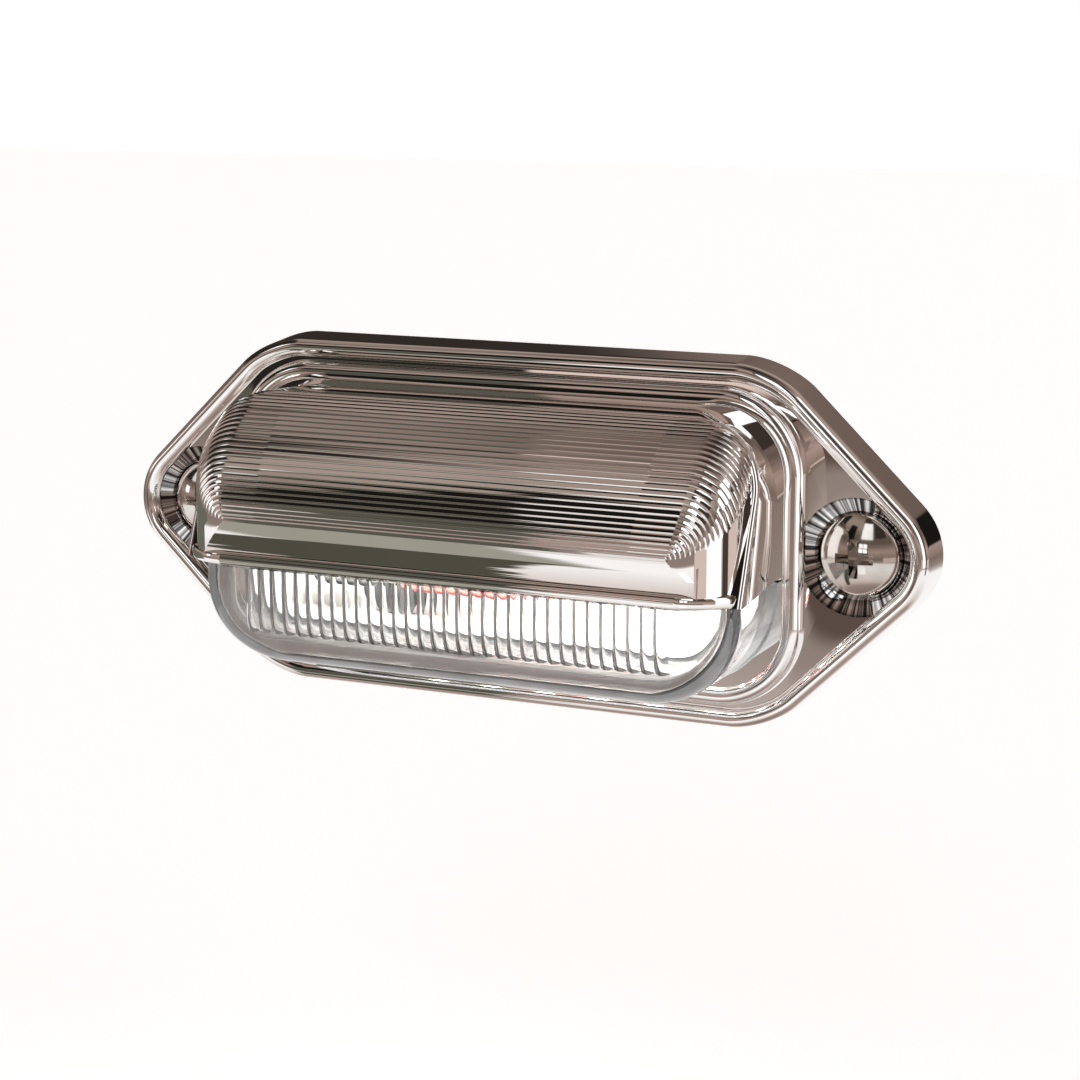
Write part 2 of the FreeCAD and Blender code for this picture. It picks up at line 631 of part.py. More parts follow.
def make_grommet():
    """The wire inlet: a rubber bush that grips the base plate, with a bore for each lead."""
    tip = BASE_FRONT + GROMMET_INNER_T
    bush = rod(GROMMET_NECK_R, GROMMET_X, GROMMET_Z, GROMMET_RECESS, tip)
    outer = rod(GROMMET_FLANGE_R, GROMMET_X, GROMMET_Z, GROMMET_RECESS, BASE_BACK)
    inner = rod(GROMMET_FLANGE_R, GROMMET_X, GROMMET_Z, BASE_FRONT, tip)
    bores = [rod(LEAD_R, GROMMET_X + side * LEAD_SPACING / 2, GROMMET_Z, 0, tip + CLEAR) for side in (-1, 1)]
    return bush.fuse([outer, inner]).cut(bores)


def make_lead(side, pad_x):
    """An insulated lead from the grommet's bore across the housing and up to its pad."""
    x = GROMMET_X + side * LEAD_SPACING / 2
    points = [at(x, GROMMET_RECESS, GROMMET_Z), at(x, LEAD_RUN_DEPTH, GROMMET_Z),
              at(pad_x, LEAD_RUN_DEPTH, GROMMET_Z), at(pad_x, LEAD_RUN_DEPTH, BOARD_BOTTOM_Z)]
    edges = []
    start = points[0]
    for i in (1, 2):
        back_way = (points[i - 1] - points[i]).normalize()
        on_way = (points[i + 1] - points[i]).normalize()
        first, last = points[i] + back_way * LEAD_BEND_R, points[i] + on_way * LEAD_BEND_R
        middle = points[i] + (back_way + on_way).normalize() * (LEAD_BEND_R * (sqrt(2) - 1))
        edges += [Part.makeLine(start, first), Part.Arc(first, middle, last).toShape()]
        start = last
    edges.append(Part.makeLine(start, points[-1]))
    section = Part.Face(Part.Wire(Part.makeCircle(LEAD_R, points[0], FreeCAD.Vector(0, -1, 0))))
    return Part.Wire(edges).makePipe(section)


def recess_slot(x, top, turn):
    """One tapered slot of the cross recess."""
    over = CLEAR / RECESS_DEEP
    spans = (RECESS_SPAN + (RECESS_SPAN - RECESS_FLOOR_SPAN) * over, RECESS_FLOOR_SPAN)
    slots = (RECESS_SLOT + (RECESS_SLOT - RECESS_FLOOR_SLOT) * over, RECESS_FLOOR_SLOT)
    rings = []
    for span, width, depth in zip(spans, slots, (top + CLEAR, top - RECESS_DEEP)):
        corners = [(-span, -width), (span, -width), (span, width), (-span, width)]
        points = [at(x + a / 2, depth, b / 2) for a, b in corners]
        rings.append(Part.makePolygon(points + points[:1]))
    slot = loft(rings)
    slot.rotate(at(x, 0, 0), FreeCAD.Vector(0, 1, 0), turn)
    return slot


def make_screw(side):
    """A fixing screw with an oval countersunk head and a cross recess."""
    x = side * SCREW_SPACING / 2
    rate = cup_radius(1) - cup_radius(0)
    seat = CUP_BOTTOM_DEPTH + (HEAD_R - SCREW_HOLE_R) / rate
    neck = seat - (HEAD_R - NECK_R) / rate
    edge, top, tip = seat + HEAD_RIM, seat + HEAD_RIM + HEAD_DOME, -SHANK_LENGTH
    corners = [(0, top), (0, tip), (SHANK_R, tip + SHANK_POINT), (SHANK_R, NECK_R - SHANK_R - THREAD_START),
               (NECK_R, -THREAD_START), (NECK_R, neck), (HEAD_R, seat), (HEAD_R, edge)]
    places = [at(x + r, depth, 0) for r, depth in corners]
    outline = [Part.makeLine(a, b) for a, b in zip(places, places[1:])]
    dome_r = (HEAD_R ** 2 + HEAD_DOME ** 2) / (2 * HEAD_DOME)
    half = asin(HEAD_R / dome_r) / 2
    shoulder = at(x + dome_r * sin(half), top - dome_r * (1 - cos(half)), 0)
    outline.append(Part.Arc(places[-1], shoulder, places[0]).toShape())
    body = Part.Face(Part.Wire(outline)).revolve(at(x, 0, 0), FreeCAD.Vector(0, 1, 0), 360)
    return body.cut([recess_slot(x, top, turn) for turn in (0, 90)])


def build():
    """Every piece by its name."""
    pieces = {
        "cover": make_cover(),
        "lens": make_lens(),
        "lens_seal": make_lens_seal(),
        "base": make_base(),
        "mounting_gasket": make_mounting_gasket(),
        "grommet": make_grommet(),
        "led_board": make_led_board(),
        "diode": make_diode(),
        "red_lead": make_lead(1, RED_PAD_X),
        "black_lead": make_lead(-1, BLACK_PAD_X),
    }
    for i in range(LED_COUNT):
        pieces["led_%d" % (i + 1)] = make_led(i)
    for i, x in enumerate(RESISTOR_X):
        block = board_block(x, PARTS_DEPTH, RESISTOR_W, RESISTOR_L, RESISTOR_TALL)
        pieces["resistor_%d" % (i + 1)] = block
    for name, side in (("left", -1), ("right", 1)):
        pieces["board_screw_" + name] = make_board_screw(side)
        pieces["screw_" + name] = make_screw(side)
    return pieces


def main():
    """Write one file for each piece."""
    os.makedirs("parts", exist_ok=True)
    for name, shape in build().items():
        print(name, len(shape.Solids), "solid", shape.isValid(), "valid", round(shape.Volume, 2), "mm3")
        shape.exportStep("parts/%s.step" % name)


main()
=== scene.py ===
"""Looks of the surface-mounted hooded light: chromed cover, clear fluted lens, lamps and studio.

Sizes are millimetres unless a name says otherwise. A new piece is shaped lying on its back: x runs
along the light, y up its height and z out of its front. `settle` then stands it up in the frame, in
metres, where the front faces -Y and +Z is up.
"""

import logging
from contextlib import contextmanager
from dataclasses import dataclass
from enum import Enum
from math import asin, atan2, cos, pi, radians, sin, sqrt, tan
from typing import Callable, Iterator, Sequence

import bmesh
import bpy
from mathutils import Matrix, Vector

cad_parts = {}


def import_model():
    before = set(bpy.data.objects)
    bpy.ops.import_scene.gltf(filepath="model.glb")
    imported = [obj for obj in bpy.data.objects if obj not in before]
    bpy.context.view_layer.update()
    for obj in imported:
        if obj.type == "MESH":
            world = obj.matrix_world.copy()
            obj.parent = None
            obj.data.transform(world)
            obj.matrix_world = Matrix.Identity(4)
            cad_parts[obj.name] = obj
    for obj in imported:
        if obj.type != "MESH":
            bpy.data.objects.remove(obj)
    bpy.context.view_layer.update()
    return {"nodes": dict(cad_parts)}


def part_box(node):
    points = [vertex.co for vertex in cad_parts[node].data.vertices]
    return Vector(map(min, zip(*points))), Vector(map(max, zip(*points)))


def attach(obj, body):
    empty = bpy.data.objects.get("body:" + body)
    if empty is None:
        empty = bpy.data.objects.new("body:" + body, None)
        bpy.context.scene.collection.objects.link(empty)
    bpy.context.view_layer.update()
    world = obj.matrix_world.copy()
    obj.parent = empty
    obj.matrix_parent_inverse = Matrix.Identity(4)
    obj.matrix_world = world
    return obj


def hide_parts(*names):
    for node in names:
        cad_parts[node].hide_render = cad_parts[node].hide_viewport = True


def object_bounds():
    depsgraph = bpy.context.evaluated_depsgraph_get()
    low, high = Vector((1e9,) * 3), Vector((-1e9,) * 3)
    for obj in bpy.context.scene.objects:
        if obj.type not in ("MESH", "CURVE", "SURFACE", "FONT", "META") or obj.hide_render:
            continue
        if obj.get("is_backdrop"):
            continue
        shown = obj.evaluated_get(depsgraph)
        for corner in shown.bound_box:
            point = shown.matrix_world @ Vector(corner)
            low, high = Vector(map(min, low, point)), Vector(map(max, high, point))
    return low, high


LOG = logging.getLogger("hooded_light")
MM = 0.001
STAND_UP = Matrix(((MM, 0, 0, 0), (0, 0, -MM, 0), (0, MM, 0, 0), (0, 0, 0, 1)))
ARC_STEPS = 24
ROUND_STEPS = 8
DOME_STEPS = 24
CLEAR = 1.0
MERGE = 0.0005
NEAR = 0.001
FACING = 0.9
RUN_SHARE = 0.17
BODY = "root"
LAMP_COUNT = 6
SCREW_X = 31.75
SIDES = (-1, 1)
CLOUD_RANGE = (0.3, 0.7)
PAINTED_STREAK_RANGE = (0.4, 0.64)
PAINTED_STREAK_DEPTH = (0.04, 0.75)

Color = tuple[float, float, float, float]
Point = tuple[float, float, float]
Piece = bpy.types.Object
Socket = bpy.types.NodeSocket
Value = float | Socket


class Join(Enum):
    """How a tool acts on a piece."""

    UNION = "UNION"
    DIFFERENCE = "DIFFERENCE"


class Element(Enum):
    """What is picked in edit mode."""

    VERTEX = "VERT"
    EDGE = "EDGE"
    FACE = "FACE"


def tone(red: float, green: float, blue: float) -> Color:
    """A colour as it looks on the screen, turned into light.

    Args:
        red: Screen value of red, 0 to 1.
        green: Screen value of green, 0 to 1.
        blue: Screen value of blue, 0 to 1.

    Returns:
        The colour in linear values with full alpha.
    """
    def bend(value: float) -> float:
        """One channel of the screen's curve."""
        return value / 12.92 if value <= 0.04045 else ((value + 0.055) / 1.055) ** 2.4

    return bend(red), bend(green), bend(blue), 1.0


def shade(red: float, green: float, blue: float) -> Color:
    """A colour from its screen values, 0 to 255."""
    return tone(red / 255, green / 255, blue / 255)


class Wiring:
    """Adds nodes to one tree and joins them."""

    def __init__(self, tree: bpy.types.NodeTree) -> None:
        """Starts with an empty tree."""
        self.tree = tree
        tree.nodes.clear()

    def add(self, kind: str, inputs: dict | None = None, **settings) -> bpy.types.Node:
        """Adds a node.

        Args:
            kind: The node's type name without its leading "ShaderNode".
            inputs: A value or another node's output for each named or numbered input.
            **settings: Properties of the node.

        Returns:
            The new node.
        """
        node = self.tree.nodes.new("ShaderNode" + kind)
        for name, value in settings.items():
            setattr(node, name, value)
        for name, value in (inputs or {}).items():
            if isinstance(value, Socket):
                self.tree.links.new(value, node.inputs[name])
            else:
                node.inputs[name].default_value = value
        return node

    def math(self, operation: str, *values: Value) -> Socket:
        """The result of one sum on numbers or other nodes' outputs."""
        return self.add("Math", dict(enumerate(values)), operation=operation).outputs[0]

    def remap(self, value: Value, source: tuple[Value, Value] = (0.0, 1.0),
              target: tuple[Value, Value] = (0.0, 1.0), curve: str = "LINEAR") -> Socket:
        """A value moved from a source range to a target range, and held within it."""
        return self.add("MapRange", {"Value": value, "From Min": source[0], "From Max": source[1],
                                     "To Min": target[0], "To Max": target[1]},
                        interpolation_type=curve).outputs["Result"]

    def effect(self, group: bpy.types.NodeTree, inputs: dict) -> bpy.types.Node:
        """Places a shared effect with its own values."""
        return self.add("Group", inputs, node_tree=group)


class SharedEffects:
    """The node groups that are used more than once, each built once."""

    def __init__(self) -> None:
        """Builds every group."""
        self.drift = self._drift()
        self.grain = self._grain()
        self.card = self._card()

    @staticmethod
    def _group(name: str, inputs: dict[str, str], outputs: dict[str, str]) -> tuple:
        """An empty group with named sockets.

        Args:
            name: The group's name.
            inputs: Socket type for each input's name.
            outputs: Socket type for each output's name.

        Returns:
            The group, its wiring, its input node and its output node.
        """
        group = bpy.data.node_groups.new(name, "ShaderNodeTree")
        for in_out, sockets in (("INPUT", inputs), ("OUTPUT", outputs)):
            for label, kind in sockets.items():
                group.interface.new_socket(name=label, in_out=in_out, socket_type="NodeSocket" + kind)
        wiring = Wiring(group)
        return group, wiring, group.nodes.new("NodeGroupInput"), group.nodes.new("NodeGroupOutput")

    def _drift(self) -> bpy.types.NodeTree:
        """A slow cloudy change of colour and roughness over a surface."""
        group, wiring, start, end = self._group(
            "surface_drift",
            {"Vector": "Vector", "Scale": "Float", "Color A": "Color", "Color B": "Color",
             "Rough A": "Float", "Rough B": "Float"},
            {"Color": "Color", "Roughness": "Float"})
        cloud = wiring.add("TexNoise", {
            "Vector": start.outputs["Vector"], "Scale": start.outputs["Scale"], "Detail": 3.0,
            "Roughness": 0.55})
        spread = wiring.remap(cloud.outputs["Fac"], CLOUD_RANGE)
        mixed = wiring.add("MixRGB", {
            "Fac": spread, "Color1": start.outputs["Color A"], "Color2": start.outputs["Color B"]})
        rough = wiring.remap(spread, target=(start.outputs["Rough A"], start.outputs["Rough B"]))
        group.links.new(mixed.outputs["Color"], end.inputs["Color"])
        group.links.new(rough, end.inputs["Roughness"])
        return group

    def _grain(self) -> bpy.types.NodeTree:
        """Fine relief: a coarse swell with a small grain on it."""
        group, wiring, start, end = self._group(
            "fine_grain", {"Vector": "Vector", "Swell Scale": "Float", "Grain Scale": "Float",
                           "Grain Share": "Float"}, {"Height": "Float"})
        place = start.outputs["Vector"]
        swell = wiring.add("TexNoise", {
            "Vector": place, "Scale": start.outputs["Swell Scale"], "Detail": 1.0})
        grain = wiring.add("TexNoise", {
            "Vector": place, "Scale": start.outputs["Grain Scale"], "Detail": 2.0})
        height = wiring.remap(start.outputs["Grain Share"],
                              target=(swell.outputs["Fac"], grain.outputs["Fac"]))
        group.links.new(height, end.inputs["Height"])
        return group

    def _card(self) -> bpy.types.NodeTree:
        """How much of a studio card lies in a direction, from 0 to 1, all in degrees."""
        group, wiring, start, end = self._group(
            "studio_card", {"Azimuth": "Float", "Elevation": "Float", "Centre Azimuth": "Float",
                            "Centre Elevation": "Float", "Half Width": "Float", "Half Height": "Float",
                            "Soft": "Float", "Lean": "Float"}, {"Mask": "Float"})

        def inside(offset: Socket, half: str) -> Socket:
            """One within the card's edges along an axis, fading over the soft margin."""
            edge = wiring.math("ADD", start.outputs[half], start.outputs["Soft"])
            return wiring.remap(wiring.math("ABSOLUTE", offset), (start.outputs[half], edge),
                                (1.0, 0.0), "SMOOTHSTEP")

        along = wiring.math("SUBTRACT", start.outputs["Azimuth"], start.outputs["Centre Azimuth"])
        above = wiring.math("SUBTRACT", start.outputs["Elevation"], start.outputs["Centre Elevation"])
        leant = wiring.math("MULTIPLY_ADD", above, start.outputs["Lean"], along)
        mask = wiring.math("MULTIPLY", inside(leant, "Half Width"), inside(above, "Half Height"))
        group.links.new(mask, end.inputs["Mask"])
        return group


@dataclass(frozen=True)
class Finish:
    """A finish with drifting colour and roughness and a fine relief; with a refraction it is clear.

    Scales are repeats in a metre, as the pattern reads the piece's own place.
    """

    name: str
    color_a: Color
    color_b: Color
    rough: tuple[float, float] = (0.4, 0.5)
    metallic: float = 0.0
    drift_scale: float = 300.0
    swell_scale: float = 600.0
    grain_scale: float = 6000.0
    grain_share: float = 0.6
    relief: float = 0.2
    relief_mm: float = 0.02
    coat: float = 0.0
    coat_rough: float = 0.1
    glow: float = 0.0
    # Scale of painted dark reflection streaks round the screws; 0 for none.
    painted_streaks: float = 0.0
    refraction: float = 0.0

    def material(self, effects: SharedEffects) -> bpy.types.Material:
        """Builds the finish.

        Args:
            effects: The shared node groups.

        Returns:
            The new material.
        """
        material = bpy.data.materials.new(self.name)
        material.use_nodes = True
        wiring = Wiring(material.node_tree)
        place = wiring.add("TexCoord").outputs["Object"]
        drift = wiring.effect(effects.drift, {
            "Vector": place, "Scale": self.drift_scale, "Color A": self.color_a, "Color B": self.color_b,
            "Rough A": self.rough[0], "Rough B": self.rough[1]})
        grain = wiring.effect(effects.grain, {
            "Vector": place, "Swell Scale": self.swell_scale, "Grain Scale": self.grain_scale,
            "Grain Share": self.grain_share})
        bump = wiring.add("Bump", {
            "Height": grain.outputs["Height"], "Strength": self.relief, "Distance": self.relief_mm * MM})
        color = drift.outputs["Color"]
        if self.painted_streaks > 0:
            color = self._paint_streaks(wiring, place, color)
        shader = wiring.add("BsdfPrincipled", {
            "Base Color": color, "Roughness": drift.outputs["Roughness"],
            "Metallic": self.metallic, "Coat Weight": self.coat, "Coat Roughness": self.coat_rough,
            "Normal": bump.outputs["Normal"]})
        if self.glow > 0:
            wiring.tree.links.new(drift.outputs["Color"], shader.inputs["Emission Color"])
            shader.inputs["Emission Strength"].default_value = self.glow
        if self.refraction > 0:
            shader.inputs["Transmission Weight"].default_value = 1.0
            shader.inputs["IOR"].default_value = self.refraction
        wiring.add("OutputMaterial", {"Surface": shader.outputs["BSDF"]})
        return material

    def _paint_streaks(self, wiring: Wiring, place: Socket, color: Socket) -> Socket:
        """Darkens the colour along lines that run out from the axis of each screw, as painted dark
        reflection streaks.
        """
        axes = wiring.add("SeparateXYZ", {0: place})
        side = wiring.math("ABSOLUTE", axes.outputs["X"])
        turn = wiring.math("ARCTAN2", axes.outputs["Z"], wiring.math("SUBTRACT", side, SCREW_X * MM))
        lines = wiring.add("TexNoise", {"W": turn, "Scale": self.painted_streaks, "Detail": 2.0},
                           noise_dimensions="1D")
        painted_dark = wiring.remap(lines.outputs["Fac"], PAINTED_STREAK_RANGE, PAINTED_STREAK_DEPTH)
        shaded = wiring.add("VectorMath", {0: color, "Scale": painted_dark}, operation="SCALE")
        return shaded.outputs["Vector"]


CHROME = Finish("bright_plating", tone(0.98, 0.97, 0.965), tone(0.95, 0.94, 0.93), (0.01, 0.035),
                metallic=1.0, drift_scale=90.0, swell_scale=250.0, grain_scale=2500.0,
                grain_share=0.15, relief=0.015)
# The cups' plating carries painted dark reflection streaks that run out from each screw.
CUP_PLATING = Finish("cup_plating", tone(0.98, 0.97, 0.965), tone(0.95, 0.94, 0.93), (0.03, 0.08),
                     metallic=1.0, drift_scale=90.0, relief=0.02, painted_streaks=11.0)
CLEAR_MOULDING = Finish("clear_moulding", tone(0.99, 0.99, 0.99), tone(0.95, 0.955, 0.96), (0.0, 0.015),
                        drift_scale=120.0, swell_scale=500.0, grain_scale=2000.0, grain_share=0.2,
                        relief=0.03, relief_mm=0.1, refraction=1.38)
SCREW_PLATING = Finish("screw_plating", tone(0.88, 0.86, 0.84), tone(0.80, 0.78, 0.76), (0.05, 0.12),
                       metallic=1.0, drift_scale=400.0, relief=0.05)
SEAL_RUBBER = Finish("seal_rubber", tone(0.42, 0.41, 0.40), tone(0.35, 0.34, 0.33), (0.6, 0.75))
WHITE_MOULDING = Finish("white_moulding", tone(0.93, 0.93, 0.92), tone(0.90, 0.90, 0.88), (0.35, 0.5))
GASKET_FOAM = Finish("gasket_foam", tone(0.14, 0.14, 0.14), tone(0.20, 0.20, 0.20), (0.8, 0.95),
                     drift_scale=900.0, grain_scale=3500.0, grain_share=0.9, relief=0.9, relief_mm=0.12)
GROMMET_RUBBER = Finish("grommet_rubber", tone(0.09, 0.09, 0.09), tone(0.13, 0.13, 0.13), (0.45, 0.6))
BOARD_MASK = Finish("board_mask", tone(0.92, 0.93, 0.91), tone(0.88, 0.89, 0.87), (0.25, 0.35), coat=0.4)
LAMP_BODY = Finish("lamp_body", tone(0.97, 0.97, 0.94), tone(0.93, 0.93, 0.88), (0.3, 0.4))
PHOSPHOR = Finish("lamp_phosphor", tone(0.95, 0.97, 1.0), tone(1.0, 0.98, 0.93), (0.3, 0.4), glow=2500.0)
# The frosted rim's faint glow is painted light, as if caught in the rim; the rim is no lamp.
RIM_FROST_AND_GLOW = Finish("rim_frost_and_painted_glow", tone(0.80, 0.80, 0.80), tone(0.70, 0.70, 0.71), (0.4, 0.55), glow=0.3)
RESISTOR_FILM = Finish("resistor_film", tone(0.10, 0.10, 0.11), tone(0.16, 0.16, 0.17), (0.3, 0.45))
DIODE_EPOXY = Finish("diode_epoxy", tone(0.11, 0.11, 0.11), tone(0.16, 0.16, 0.16), (0.5, 0.65))
RED_SLEEVE = Finish("red_sleeve", tone(0.82, 0.32, 0.29), tone(0.76, 0.26, 0.24), (0.35, 0.5))
BLACK_SLEEVE = Finish("black_sleeve", tone(0.09, 0.09, 0.09), tone(0.14, 0.14, 0.14), (0.35, 0.5))
ZINC = Finish("zinc_plating", tone(0.76, 0.77, 0.78), tone(0.66, 0.66, 0.64), (0.2, 0.35), metallic=1.0,
              drift_scale=1200.0)


def deselect_all() -> None:
    """Leaves nothing selected."""
    bpy.ops.object.select_all(action="DESELECT")


def activate(piece: Piece) -> None:
    """Makes a piece the only selected one and the active one."""
    deselect_all()
    piece.select_set(True)
    bpy.context.view_layer.objects.active = piece


@contextmanager
def editing(piece: Piece) -> Iterator[None]:
    """Edit mode on one piece, left again at the end.

    Args:
        piece: The piece to edit.
    """
    activate(piece)
    bpy.ops.object.mode_set(mode="EDIT")
    yield
    bpy.ops.object.mode_set(mode="OBJECT")


def pick(piece: Piece, element: Element, test: Callable[[Vector, Vector], bool]) -> None:
    """Selects, in edit mode, only the elements whose place passes a test.

    Args:
        piece: The piece in edit mode.
        element: What is selected.
        test: Takes an element's middle and its normal (an edge's direction), and says if it is wanted.
    """
    bpy.ops.mesh.select_mode(type=element.value)
    bpy.ops.mesh.select_all(action="DESELECT")
    mesh = bmesh.from_edit_mesh(piece.data)
    if element is Element.VERTEX:
        found = [(vertex, vertex.co, vertex.normal) for vertex in mesh.verts]
    elif element is Element.EDGE:
        found = [(edge, (edge.verts[0].co + edge.verts[1].co) / 2,
                  (edge.verts[1].co - edge.verts[0].co).normalized()) for edge in mesh.edges]
    else:
        found = [(face, face.calc_center_median(), face.normal) for face in mesh.faces]
    for item, middle, way in found:
        item.select_set(test(middle, way))
    bmesh.update_edit_mesh(piece.data)


def added(name: str) -> Piece:
    """The primitive that was just added, named, with its place and size moved into its mesh."""
    piece = bpy.context.object
    piece.name = name
    bpy.ops.object.transform_apply(location=True, rotation=True, scale=True)
    return piece


def rounded_block(name: str, half_w: float, half_h: float, radius: float, low: float,
                  high: float) -> Piece:
    """A flat block with four rounded upright edges.

    Args:
        name: Its name.
        half_w: Half its length.
        half_h: Half its height.
        radius: Radius of its corners.
        low: Depth of its back.
        high: Depth of its front.

    Returns:
        The block.
    """
    deselect_all()
    bpy.ops.mesh.primitive_cube_add(size=1, location=(0, 0, (low + high) / 2),
                                    scale=(2 * half_w, 2 * half_h, high - low))
    piece = added(name)
    with editing(piece):
        pick(piece, Element.EDGE, lambda middle, way: abs(way.z) > FACING)
        bpy.ops.mesh.bevel(offset=radius, segments=ARC_STEPS, affect="EDGES", clamp_overlap=False)
    return piece


def step_front(piece: Piece, steps: Sequence[tuple[float, float]]) -> None:
    """Draws a block's flat front in and out through points (inset, depth), from its present place."""
    front = max(vertex.co.z for vertex in piece.data.vertices)
    with editing(piece):
        pick(piece, Element.FACE, lambda middle, way: way.z > FACING and middle.z > front - NEAR)
        for (inset, depth), (next_inset, next_depth) in zip(steps, steps[1:]):
            bpy.ops.mesh.inset(thickness=next_inset - inset, depth=next_depth - depth,
                               use_even_offset=True)


def quarter_round(foot: tuple[float, float], crest: tuple[float, float]) -> list[tuple[float, float]]:
    """Points (inset, depth) up an elliptic quarter round, from its steep foot to its flat crest."""
    points = []
    for i in range(ROUND_STEPS + 1):
        angle = pi / 2 * i / ROUND_STEPS
        inset = foot[0] + (crest[0] - foot[0]) * (1 - cos(angle))
        points.append((inset, foot[1] + (crest[1] - foot[1]) * sin(angle)))
    return points


def turned(name: str, x: float, profile: Sequence[tuple[float, float]], sides: int = 96) -> Piece:
    """A turned shape, grown from a disc by extruding and scaling its end.

    Args:
        name: Its name.
        x: Where its axis stands.
        profile: Points (radius, depth), from the back.
        sides: How many sides approach the circle.

    Returns:
        The closed shape.
    """
    deselect_all()
    radius, depth = profile[0]
    bpy.ops.mesh.primitive_circle_add(vertices=sides, radius=radius, fill_type="NGON",
                                      location=(x, 0, depth))
    piece = added(name)
    with editing(piece):
        bpy.ops.mesh.select_all(action="SELECT")
        for next_radius, next_depth in profile[1:]:
            rise = (0, 0, next_depth - depth)
            bpy.ops.mesh.extrude_region_move(TRANSFORM_OT_translate={"value": rise})
            grow = next_radius / radius
            bpy.ops.transform.resize(value=(grow, grow, 1), center_override=(x, 0, next_depth))
            radius, depth = next_radius, next_depth
        bpy.ops.mesh.select_all(action="SELECT")
        bpy.ops.mesh.normals_make_consistent(inside=False)
    return piece


def skin(name: str, loops: Sequence[Sequence[Point]]) -> Piece:
    """A closed shell through matching closed loops of points, capped at both ends."""
    shell = bmesh.new()
    rings = [[shell.verts.new(point) for point in loop] for loop in loops]
    for ring, after in zip(rings, rings[1:]):
        for i, corner in enumerate(ring):
            k = (i + 1) % len(ring)
            shell.faces.new((corner, ring[k], after[k], after[i]))
    shell.faces.new(rings[0])
    shell.faces.new(rings[-1])
    bmesh.ops.remove_doubles(shell, verts=shell.verts, dist=MERGE)
    bmesh.ops.recalc_face_normals(shell, faces=shell.faces)
    mesh = bpy.data.meshes.new(name)
    shell.to_mesh(mesh)
    shell.free()
    piece = bpy.data.objects.new(name, mesh)
    bpy.context.scene.collection.objects.link(piece)
    return piece


def combine(piece: Piece, tool: Piece, way: Join) -> None:
    """Joins a tool to a piece or cuts the piece with it, and takes the tool away."""
    activate(piece)
    cut = piece.modifiers.new("combine", "BOOLEAN")
    cut.operation = way.value
    cut.solver = "EXACT"
    cut.object = tool
    bpy.ops.object.modifier_apply(modifier=cut.name)
    bpy.data.objects.remove(tool)


def settle(piece: Piece, degrees: float) -> Piece:
    """Merges a finished piece's doubles, stands it up in the frame and shades it smoothly.

    Args:
        piece: A piece in millimetres, lying on its back.
        degrees: Edges sharper than this stay crisp.

    Returns:
        The same piece, in metres.
    """
    with editing(piece):
        bpy.ops.mesh.select_all(action="SELECT")
        bpy.ops.mesh.remove_doubles(threshold=MERGE)
        bpy.ops.mesh.dissolve_degenerate(threshold=MERGE)
        bpy.ops.mesh.normals_make_consistent(inside=False)
    piece.data.transform(STAND_UP)
    smooth(piece, degrees)
    return piece


def smooth(piece: Piece, degrees: float) -> None:
    """Shades a piece smoothly but for edges sharper than an angle, flat areas kept flat."""
    activate(piece)
    bpy.ops.object.shade_smooth_by_angle(angle=radians(degrees))
    even = piece.modifiers.new("even_normals", "WEIGHTED_NORMAL")
    even.keep_sharp = True
    bpy.ops.object.modifier_apply(modifier=even.name)


def dress(piece: Piece, material: bpy.types.Material) -> None:
    """Gives a piece one finish all over."""
    piece.data.materials.clear()
    piece.data.materials.append(material)


def dress_part(piece: Piece, material: bpy.types.Material, test: Callable[[Vector], bool]) -> None:
    """Gives a further finish to the faces of a piece whose middle passes a test."""
    piece.data.materials.append(material)
    for face in piece.data.polygons:
        if test(face.center):
            face.material_index = len(piece.data.materials) - 1


def hand_over(piece: Piece, slot: str, *nodes: str) -> None:
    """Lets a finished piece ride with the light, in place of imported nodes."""
    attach(piece, BODY)
    if nodes:
        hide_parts(*nodes)
    LOG.info("%s: %d faces", piece.name, len(piece.data.polygons))


